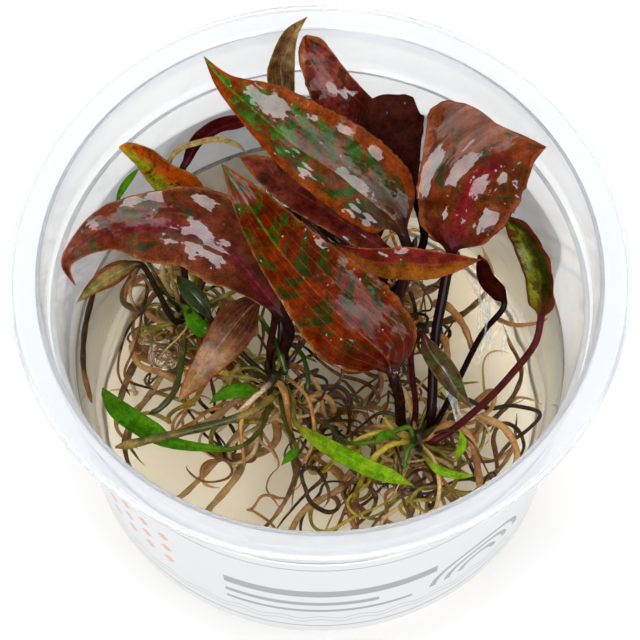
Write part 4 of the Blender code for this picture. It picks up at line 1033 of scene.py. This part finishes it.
def make_crowns(tree, material):
    """Rootstocks with their thick roots and the stubs of old leaves, one piece for each crown."""
    rng = random.Random(5)
    for crown, (x, y) in CROWNS.items():
        strands = Strands()
        heights = np.linspace(CROWN_LOW, CROWN_TOP - 0.6, CROWN_ROWS)
        share = shares(heights)
        bulge = np.sqrt(np.clip(1.0 - np.abs(2.0 * share - 1.0) ** 3.5, 0.0, 1.0))
        strands.add(np.column_stack([x + 0.3 * np.sin(9.0 * share), y + 0.3 * np.cos(7.0 * share), heights]),
                    0.85 * CROWN_RADIUS * bulge * (1.0 + 0.1 * np.sin(26.0 * share)))
        for k in range(STUBS):
            turn = 2.0 * math.pi * (k + rng.uniform(-0.3, 0.3)) / STUBS
            low, lean, tall = rng.uniform(25.5, 28.0), rng.uniform(1.6, 3.6), rng.uniform(2.6, 6.5)
            rows = ((0.6, 0.0, low), (1.5, 0.0, low + 0.4 * tall), (lean, 0.0, low + tall))
            path = fine_path(beside(x, y, turn, rows), 8, 0.3)
            strands.add(path, rng.uniform(0.35, 0.75) * (1.0 - shares(path) ** 3 * 0.85))
        for route in ROOTS[crown]:
            path = fine_path([(x, y, ROOT_START)] + route, 16, 0.7)
            along = shares(path)
            taper = (1.15 - 0.75 * along ** 2) * np.minimum(1.0, (1.0 - along) * 9.0 + 0.1)
            strands.add(path, ROOT_RADIUS * taper * (1.0 + 0.12 * np.sin(len(path) * along * 0.9)))
        strands.place("rootstock_" + crown, tree, 14, material, "rootstock", "crown_" + crown)


ROOT_STEP = 0.8
GEL_ROOM = 1.2
WALL_ROOM = 0.9
CURL_KEPT = 0.86
TURN_ROOM = 2.5
HOLLOW = (-26.2, 1.3, 25.2)
HOLLOW_ROOM = 4.2


def softened(path):
    """The same path with its kinks evened out."""
    for _ in range(2):
        path[1:-1] = 0.25 * path[:-2] + 0.5 * path[1:-1] + 0.25 * path[2:]
    return path


def wander(rng, spot, heading, length, curl, guide, reach):
    """A curling root that stays inside the gel and within reach of the thick root that carries it."""
    bend = np.zeros(3)
    coil = curl * rng.choice((-1.0, 1.0)) * rng.uniform(0.0, 1.4)
    path = [spot]
    for _ in range(int(length / ROOT_STEP)):
        bend = CURL_KEPT * bend + curl * np.array([rng.gauss(0.0, 1.0) for _ in range(3)])
        # Back towards its carrier, off the wall, the floor, the big bubble and the top
        off = guide - spot
        far = np.linalg.norm(off, axis=1)
        near = int(far.argmin())
        push = off[near] * max(1.0 - reach / max(far[near], 0.1), 0.0) * 0.12
        radius = math.hypot(spot[0], spot[1])
        over = radius - (wall_radius(spot[2]) - GEL_ROOM - TURN_ROOM)
        if over > 0.0:
            push -= np.array([spot[0], spot[1], 0.0]) / radius * over * 0.22
        push[2] += max(FLOOR_TOP + GEL_ROOM + TURN_ROOM - spot[2], 0.0) * 0.2
        away = spot - np.array(HOLLOW)
        push += away * max(HOLLOW_ROOM / max(np.linalg.norm(away), 0.5) - 1.0, 0.0) * 0.4
        push[2] -= max(spot[2] - GEL_TOP + GEL_ROOM + 1.8, 0.0) * 0.3
        around = np.array([-heading[1], heading[0], 0.0]) * coil
        heading = unit(heading + bend + around + push)
        spot = spot + heading * ROOT_STEP
        spot[:2] *= min((wall_radius(spot[2]) - WALL_ROOM) / math.hypot(spot[0], spot[1]), 1.0)
        spot[2] = min(max(spot[2], FLOOR_TOP + 0.7), GEL_TOP - 0.8)
        path.append(spot.copy())
    return softened(np.array(path))


def arch(rng, x, y):
    """A root that leaves its crown above the gel and dives into it."""
    turn = rng.uniform(0.0, 2.0 * math.pi)
    reach, high, sway = rng.uniform(7.0, 15.0), rng.uniform(0.6, 3.6), rng.uniform(-3.0, 3.0)
    steps = ((0.08, 0.0), (0.35, high), (0.68, 0.8 * high), (1.0, -2.6), (1.15, -6.0))
    rows = [(share * reach, sway * math.sin(3.0 * share), GEL_TOP + height) for share, height in steps]
    path = fine_path(beside(x, y, turn, rows), 10, 0.5)
    room = (wall_radius(path[:, 2]) - WALL_ROOM) / np.hypot(path[:, 0], path[:, 1])
    path[:, :2] *= np.minimum(room, 1.0)[:, None]
    return softened(path)


FINE_ROOTS = {
    # number that wander and that arch, thinnest and thickest radius, length, curl, reach from the thick root
    "brown": (68, 8, 0.22, 0.48, 42.0, 0.12, 4.0),
    "tan": (58, 8, 0.25, 0.66, 32.0, 0.12, 4.0),
    "olive": (42, 14, 0.24, 0.60, 34.0, 0.12, 4.0),
    "cream": (36, 4, 0.12, 0.54, 28.0, 0.13, 4.0),
}
# Stretches of gel with few roots: x, y and radius in mm
BARE_GEL = [(-27, -22, 9), (35, 3, 12), (27, 15, 8), (-35, 12, 5), (-34, -6, 5)]
BARE_GEL_SHARE = 0.6


def make_fine_roots(tree, skins):
    rng = random.Random(11)
    carriers = [(*spot, fine_path([(*spot, ROOT_START)] + route, 12, 1.0))
                for crown, spot in CROWNS.items() for route in ROOTS[crown]]
    for name, (count, arches, thin, wide, length, curl, reach) in FINE_ROOTS.items():
        strands = Strands()
        while len(strands.paths) < count + arches:
            x, y, guide = rng.choice(carriers)
            if len(strands.paths) < count:
                at = min(int(abs(rng.gauss(0.0, 0.4)) * len(guide)), len(guide) - 2)
                turn = rng.uniform(0.0, 2.0 * math.pi)
                ahead = unit(guide[at + 1] - guide[at])
                sideways = np.array([math.cos(turn), math.sin(turn), rng.uniform(-0.8, 0.5)])
                heading = unit(ahead * 0.6 + sideways)
                run = length * rng.uniform(0.5, 1.5)
                path = wander(rng, guide[at].copy(), heading, run, curl, guide, reach)
                path = smooth_path(path[::2], 3)[:, :3]
            else:
                path = arch(rng, x, y)
            bare = [np.hypot(path[:, 0] - bx, path[:, 1] - by) < size for bx, by, size in BARE_GEL]
            if np.any(bare, axis=0).mean() > rng.uniform(0.0, BARE_GEL_SHARE):
                continue
            along = shares(path)
            size = rng.uniform(thin, wide)
            strands.add(path, size * (1.0 - 0.55 * along ** 2) * np.minimum(1.0, (1.0 - along) * 12.0 + 0.08))
        strands.place("roots_" + name, tree, 6, skins[name + " root"], "rootstock")


# Loose strands: a finish, then for each strand its thickness at both ends in mm and the points it passes
LOOSE = {
    "old_stalk": ("olive stalk", [
        (0.75, 0.6, [(-34, -17.5, 29.5), (-28.2, -16.3, 29.9), (-19.9, -14.4, 30.4), (-11.6, -11.7, 30.8),
         (-6.6, -7.5, 30.2)]),
        (0.5, 0.65, [(-28.6, -10.8, 28.3), (-26.7, -10.1, 29), (-24.3, -7, 29.5), (-23.3, -1.6, 29.8),
         (-23, 3, 29.5)])]),
    "green_curls": ("green shoot", [
        (0.35, 0.45, [(0.8, -12.4, 29.6), (4.1, -17, 30.6), (9.1, -17.3, 31.6), (14.4, -14.6, 31.2),
         (15.6, -16.5, 29.5)]),
        (0.3, 0.5, [(13.9, -21.5, 29.6), (14.6, -18.6, 31), (16, -16.5, 29.5)]),
        (0.4, 0.6, [(-10.5, 7, 29.6), (-9, 3.5, 32), (-7, -1, 33), (-5.6, -5, 31)]),
        (0.5, 0.3, [(-3, -9, 28.8), (-2, -6, 31), (-3, -1.5, 31.8), (-5.5, 2, 29.5)])]),
    # Near-black strands: partly leaf stalks, partly painted shade filling the gaps between the leaves
    "stalks_and_painted_shade": ("stalk and painted shade", [
        (0.9, 0.8, [(8, 13, 29.4), (5, 18, 32), (0, 22, 33.5), (-6, 25, 34)]),
        (0.9, 0.7, [(9, 13, 29.4), (7, 19, 31.5), (4, 23, 32.5), (-1, 27, 33)]),
        (0.9, 0.7, [(10, 13.5, 29.4), (10, 19, 31), (8, 23, 32), (4, 28, 32.5)]),
        (0.8, 0.7, [(7.5, 12.5, 29.4), (3, 16.5, 33), (-3, 20, 35.5), (-10, 22, 37)]),
        (0.8, 0.6, [(8.5, 12.5, 29.4), (6, 14, 35), (1, 15, 41), (-3, 18, 44)]),
        (0.7, 0.5, [(11, 12, 29.4), (10, 15.5, 36), (6, 20, 42), (2, 24, 46)]),
        (0.7, 0.5, [(6.8, 9, 29.4), (3, 8, 34), (-2.5, 8.5, 39), (-7, 11, 42)]),
        (0.6, 0.5, [(11.4, 9, 29.4), (13.5, 8, 34), (14.5, 9, 40), (16, 14, 45)]),
        (0.6, 0.5, [(-8, -2, 29.4), (-6.5, 2, 34), (-8, 7, 39), (-12, 10, 43)]),
        (0.6, 0.4, [(-21, 10.5, 29.4), (-19, 13, 33), (-15, 14, 38), (-11, 16, 41)])]),
    "brown_threads": ("brown root", [
        (0.25, 0.2, [(-28.5, 10.1, 28.8), (-32.5, 4.5, 29), (-34, -2.8, 28.5), (-31.9, -7.2, 27.5)]),
        (0.2, 0.25, [(-30, 9, 28.8), (-31, 2, 29.2), (-32.8, -4, 28.4), (-28, -6, 27.2)]),
        (0.5, 0.45, [(-38, 12, 31.5), (-39.6, 4, 30.6), (-39.7, -3, 29.6), (-38.2, -9, 28.8)])]),
    "tan_pieces": ("tan root", [
        (0.45, 0.25, [(30, 6.5, 29), (33, 4.6, 30.6), (36.5, 4.4, 31.8), (38.4, 4.8, 32.8)]),
        (0.75, 0.5, [(19, 9.5, 29), (21.5, 8, 31), (24.2, 4.5, 30.6), (26, 0.5, 28.2)]),
        (0.6, 0.55, [(18.5, 4, 28.6), (21, 1.5, 31.2), (21.5, -3.5, 30.8), (23, -8.5, 28.4)]),
        (0.8, 0.6, [(17, -16, 29), (22, -13.5, 29.6), (25.5, -16, 27), (26.8, -23.8, 22)]),
        (0.7, 0.5, [(26, -11, 28), (31, -12.5, 25), (33, -17, 21), (29, -22, 18)]),
        (0.35, 0.3, [(-5.5, -4.5, 29.4), (-2, -9.5, 31.4), (-1, -16, 30), (-3, -20, 27.6)]),
        (0.4, 0.3, [(-9.5, -6, 29.4), (-13, -13, 30.6), (-12.5, -20.5, 28.2)])]),
}


def make_loose(tree, skins):
    for name, (finish, pieces) in LOOSE.items():
        strands = Strands()
        for first, last, points in pieces:
            path = fine_path(points, 16, 0.4)
            along = shares(path)
            ends = np.minimum(1.0, np.minimum(along, 1.0 - along) * 14.0 + 0.25)
            knots = 1.0 + 0.09 * np.sin(along * 31.0 + first * 40.0)
            strands.add(path, (first + (last - first) * along) * ends * knots)
        strands.place(name, tree, 12, skins[finish], "rootstock")


THREAD_BUNDLES = [
    # x, y, height of the arch, length, turn in degrees, threads
    (27, 7, 2.4, 17, 95, 4), (31, 3, 1.6, 8, 60, 2), (22, -8, 1.8, 11, 100, 3),
]


def make_threads(tree, material):
    """Threads of loose gel that lie on the set gel in small bundles."""
    rng = random.Random(3)
    strands = Strands()
    for x, y, high, size, turn, count in THREAD_BUNDLES:
        for _ in range(count):
            aim = math.radians(turn) + rng.uniform(-0.25, 0.25)
            sx, sy, bow = x + rng.uniform(-1.2, 1.2), y + rng.uniform(-1.2, 1.2), rng.uniform(-1.0, 1.0)
            half = 0.5 * size * rng.uniform(0.6, 1.1)
            rows = [(share * half, bow * (1.0 - share * share), GEL_TOP + 0.2 + high * (1.0 - share * share))
                    for share in (-1.0, -0.5, 0.0, 0.5, 1.0)]
            path = fine_path(beside(sx, sy, aim, rows), 10, 0.35)
            swell = np.clip(np.sin(math.pi * shares(path)), 0.05, 1.0) ** 0.7
            strands.add(path, rng.uniform(0.2, 0.42) * swell)
    strands.place("gel_threads", tree, 10, material, "gel")


def make_beads(name, spots, material):
    """Small rounded bodies, each given as x, y, z, radius and flatness."""
    shape = bmesh.new()
    for x, y, z, radius, flat in spots:
        made = bmesh.ops.create_icosphere(shape, subdivisions=3, radius=MM * radius)
        for vertex in made["verts"]:
            vertex.co.z *= flat
            vertex.co += Vector((MM * x, MM * y, MM * z))
    placed(smooth_mesh(name, shape, material), "gel")


SMALL_BUBBLES = 34
BUBBLE_REACH = 36.0


def make_bubbles_and_drops():
    rng = random.Random(8)
    spots = [(*HOLLOW, 3.0, 0.8), (-29.2, 4.0, 25.6, 1.1, 0.8), (-23.0, -1.7, 24.8, 0.8, 0.9)]
    for k in range(SMALL_BUBBLES):
        x, y = list(CROWNS.values())[k % len(CROWNS)]
        reach, turn = rng.uniform(3.0, 14.0), rng.uniform(0.0, 2.0 * math.pi)
        px, py = x + reach * math.cos(turn), y + reach * math.sin(turn)
        if math.hypot(px, py) < BUBBLE_REACH:
            spots.append((px, py, rng.uniform(19.0, 26.8), rng.uniform(0.15, 0.7), 0.9))
    make_beads("gel_bubbles", spots, clear_material("air in gel", 0.75, 0.97, (90.0, 1.0), 0.0001))
    drops = [(12.2, -12.6, 49.4, 1.1, 0.6), (-1.5, 2.8, 58.6, 0.35, 0.7)]
    make_beads("water_drops", drops, clear_material("water drop", WATER_IOR, 0.98, (900.0,), 0.00004))


SLOTS = {part["node"]: part["material_slot"] for part in frame["record"]["subparts"]}
BLADE_THICK = 0.3


def make_leaves():
    tree = leaf_tree()
    group = marking_group()
    finishes = {}
    for leaf, row in LEAVES.items():
        finish, seed, ruffle, ruffle_length, quilting, lumps = row[:6]
        crown, azimuth, radius, face, fold, (step, columns), points = row[6:]
        if leaf in WET or finish not in finishes:
            label = "wet leaf " + finish if finish not in finishes else "wet leaf %s %d" % (finish, seed)
            finishes[finish] = leaf_material(label, group, LEAF_LOOKS[finish], seed, *WET.get(leaf, ([], [])))
        name = "blade_" + leaf
        base, rows = leaf_base(name, crown, azimuth, radius, points, face, step)
        piece = grown(name, base, tree, {
            "Rows": rows, "Columns": columns, "Thickness": MM * BLADE_THICK, "Fold": math.radians(fold),
            "Ruffle": MM * ruffle, "Ruffle Length": float(ruffle_length), "Quilting": MM * quilting,
            "Lumps": MM * lumps, "Seed": float(seed), "Finish": finishes[finish]})
        placed(piece, SLOTS["leaf_" + leaf], "leaf_" + leaf)


def span(value, low, high, soft=0.06):
    """1 between two places and 0 outside them."""
    return between(value, low - soft, low + soft) * between(value, high - soft, high + soft, 1.0, 0.0)


MM_PER_DEGREE = 0.73
UNPRINTED = -9.0
PRINT_GREY = (0.22, 0.23, 0.25)
PRINT_TERRACOTTA = (0.62, 0.28, 0.19)
LABEL_WHITE = (0.70, 0.705, 0.715)
BARS = ((24.0, 27.2, 181.0, 217.0), (19.2, 20.9, 181.0, 207.0), (15.6, 16.8, 181.0, 213.0),
        (24.0, 27.2, 60.0, 96.0), (19.2, 20.9, 60.0, 86.0))
ARC_FOOT = 16.0


def label_print(around, up):
    """Plain printed shapes: rules, waves, bars and arcs in grey and diamonds in terracotta."""
    along = around * MM_PER_DEGREE
    grey = span(up, 38.6, 39.0) + span(up, 7.2, 7.6)
    for level in (10.2, 12.0):
        line = span(up - 0.6 * wave(along * 0.9), level, level + 0.4)
        grey = line * span(around, 30.0, 321.0, 0.1) * 0.6 + grey
    for low, high, start, end in BARS:
        grey = span(up, low, high) * span(along, start, end) + grey
    for start in (226.0, 45.0):
        away = ((along - start) ** 2.0 + (up - ARC_FOOT) ** 2.0) ** 0.5
        rings = span(away, 3.0, 4.2) + span(away, 5.8, 7.0) + span(away, 8.6, 9.8)
        grey = rings * (up > ARC_FOOT) + grey
    grid_x = abs(maths("FRACT", along / 4.2) - 0.5)
    grid_y = abs(maths("FRACT", up / 5.6) - 0.5)
    diamonds = between(grid_x * 1.5 + grid_y * 1.5, 0.42, 0.46, 1.0, 0.0)
    diamonds = diamonds * span(up, 16.8, 33.6) * span(along, 155.4, 172.2)
    colour = mixed(maths("MINIMUM", grey, 1.0) * 0.85, LABEL_WHITE, PRINT_GREY)
    return mixed(diamonds * 0.7, colour, PRINT_TERRACOTTA)


LABEL_COLUMNS = 200
LABEL_ROWS = 12
LABEL_CORNER = 3.0
LABEL_CORNER_TURN = 3.6


def make_label():
    """The label band, cut from thin film, with a plain printed pattern."""
    made, tree, shader = shader_material("printed label film")
    around, up, _ = parts_of(add_node(tree, "ShaderNodeUVMap", uv_map="wrap"))
    haze = noise(place_in(tree), 30.0, 3.0, 0.5)
    set_shader(shader, Base_Color=label_print(around, up) * between(haze, 0.3, 0.7, 0.96, 1.0),
               Roughness=between(haze, 0.3, 0.7, 0.36, 0.48), Coat_Weight=0.25, Coat_Roughness=0.2)
    see_through(tree, shader, (0.66, 0.66, 0.66))
    shape = bmesh.new()
    layer = shape.loops.layers.uv.new("wrap")
    last = LABEL_ROWS - 1

    def corner(out, azimuth, share):
        edge = min(azimuth - LABEL_START, LABEL_END - azimuth) / LABEL_CORNER_TURN
        inset = LABEL_CORNER * (1.0 - math.sqrt(1.0 - (1.0 - min(edge, 1.0)) ** 2))
        height = LABEL_LOW + inset + share * (LABEL_HIGH - LABEL_LOW - 2.0 * inset)
        radius = wall_radius(height) + WALL + 0.5 * LABEL_OFF_WALL + out
        return shape.verts.new(polar(radius, math.radians(azimuth), height)), azimuth, height

    def face(*corners, printed=False):
        made_face = shape.faces.new([c[0] for c in corners])
        for loop, (_, azimuth, height) in zip(made_face.loops, corners):
            loop[layer].uv = (azimuth, height if printed else UNPRINTED)

    inner, outer = (
        [[corner(out, azimuth, k / last) for k in range(LABEL_ROWS)]
         for azimuth in np.linspace(LABEL_START, LABEL_END, LABEL_COLUMNS)] for out in (0.0, LABEL_THICK))
    for k in range(LABEL_COLUMNS - 1):
        for i in range(last):
            face(outer[k][i], outer[k + 1][i], outer[k + 1][i + 1], outer[k][i + 1], printed=True)
            face(inner[k][i], inner[k][i + 1], inner[k + 1][i + 1], inner[k + 1][i])
        face(inner[k][0], inner[k + 1][0], outer[k + 1][0], outer[k][0])
        face(outer[k][last], outer[k + 1][last], inner[k + 1][last], inner[k][last])
    for i in range(last):
        face(inner[0][i], outer[0][i], outer[0][i + 1], inner[0][i + 1])
        face(outer[-1][i], inner[-1][i], inner[-1][i + 1], outer[-1][i + 1])
    placed(smooth_mesh("label_band", shape, made, sharp=40.0), "label_film", "label")


CAMERA_AT = (0.0, -0.2445, 0.5344)
CAMERA_AIM = (0.0, 0.0, 0.0418)
CAMERA_LENS = 187.4
LAMP_AIM = (0.0, 0.0, 0.04)


def aimed(made, place, aim):
    made.location = place
    made.rotation_euler = (Vector(aim) - Vector(place)).to_track_quat("-Z", "Y").to_euler()


def make_camera():
    camera = in_scene("camera", bpy.data.cameras.new("camera"))
    camera.data.lens = CAMERA_LENS
    camera.data.sensor_width = 36.0
    camera.data.clip_start = 0.01
    aimed(camera, CAMERA_AT, CAMERA_AIM)
    bpy.context.scene.camera = camera


def softbox(name, place, size, glow, fills=False):
    """A rectangular lamp of a given glow; one that doesn't fill is seen in reflections only."""
    lamp = bpy.data.lights.new(name, "AREA")
    lamp.shape = "RECTANGLE"
    lamp.size, lamp.size_y = size
    lamp.energy = glow * math.pi * size[0] * size[1]
    made = in_scene(name, lamp)
    aimed(made, place, LAMP_AIM)
    made.visible_diffuse = fills
    made.visible_transmission = fills


ROOM_GLOW = 1.17
ROOM_REFLECTED = 0.45
TABLE_HALF = 4.0


def make_studio():
    """A white table in an even white room, with softboxes for the wet highlights."""
    world = bpy.data.worlds.new("studio")
    bpy.context.scene.world = world
    world.use_nodes = True
    tree = world.node_tree
    path = tree.nodes.new("ShaderNodeLightPath")
    first = Wire(tree, path.outputs["Is Glossy Ray"]) * (Wire(tree, path.outputs["Transmission Depth"]) < 0.5)
    room = tree.nodes["Background"]
    room.inputs["Color"].default_value = (1.0, 1.0, 1.0, 1.0)
    feed(room.inputs["Strength"], mixed(first, ROOM_GLOW, ROOM_REFLECTED))
    softbox("front", (0.10, -0.60, 0.56), (0.90, 0.75), 8.0)
    softbox("left", (-0.75, 0.05, 0.50), (0.30, 0.35), 6.0)
    softbox("fill", (-0.30, -0.10, 0.95), (0.30, 0.30), 2.2, True)
    made, tree, shader = shader_material("white table")
    set_shader(shader, Base_Color=mixed(noise(place_in(tree), 4.0), (0.93, 0.93, 0.93), (0.96, 0.96, 0.96)),
               Roughness=0.7, Specular_IOR_Level=0.2)
    shape = bmesh.new()
    bmesh.ops.create_grid(shape, x_segments=8, y_segments=8, size=TABLE_HALF)
    smooth_mesh("table", shape, made)
    bpy.context.scene.view_settings.view_transform = "Standard"


ROOT_SKINS = {
    # main colour, paler colour, seed, colour above the gel
    "rootstock skin": ((0.10, 0.055, 0.018), (0.44, 0.27, 0.11), 1.0, (0.030, 0.024, 0.006)),
    "brown root": ((0.032, 0.014, 0.004), (0.20, 0.085, 0.022), 2.0),
    "tan root": ((0.32, 0.13, 0.035), (0.56, 0.31, 0.11), 3.0),
    "olive root": ((0.14, 0.12, 0.008), (0.46, 0.36, 0.04), 4.0),
    "cream root": ((0.50, 0.34, 0.14), (0.70, 0.54, 0.32), 5.0),
    "olive stalk": ((0.045, 0.050, 0.008), (0.26, 0.17, 0.03), 6.0),
    # Near-black skin of the strands that stand in for the shade between the leaves: painted shade
    "stalk and painted shade": ((0.016, 0.004, 0.003), (0.05, 0.010, 0.006), 8.0),
    "green shoot": ((0.012, 0.036, 0.001), (0.06, 0.13, 0.003), 7.0),
}


def main():
    make_camera()
    make_studio()
    make_cup()
    make_label()
    make_gel()
    strand = strand_tree()
    skins = {name: root_material(name, *row) for name, row in ROOT_SKINS.items()}
    make_crowns(strand, skins["rootstock skin"])
    make_fine_roots(strand, skins)
    make_loose(strand, skins)
    make_threads(strand, thread_material())
    make_bubbles_and_drops()
    make_leaves()


main()
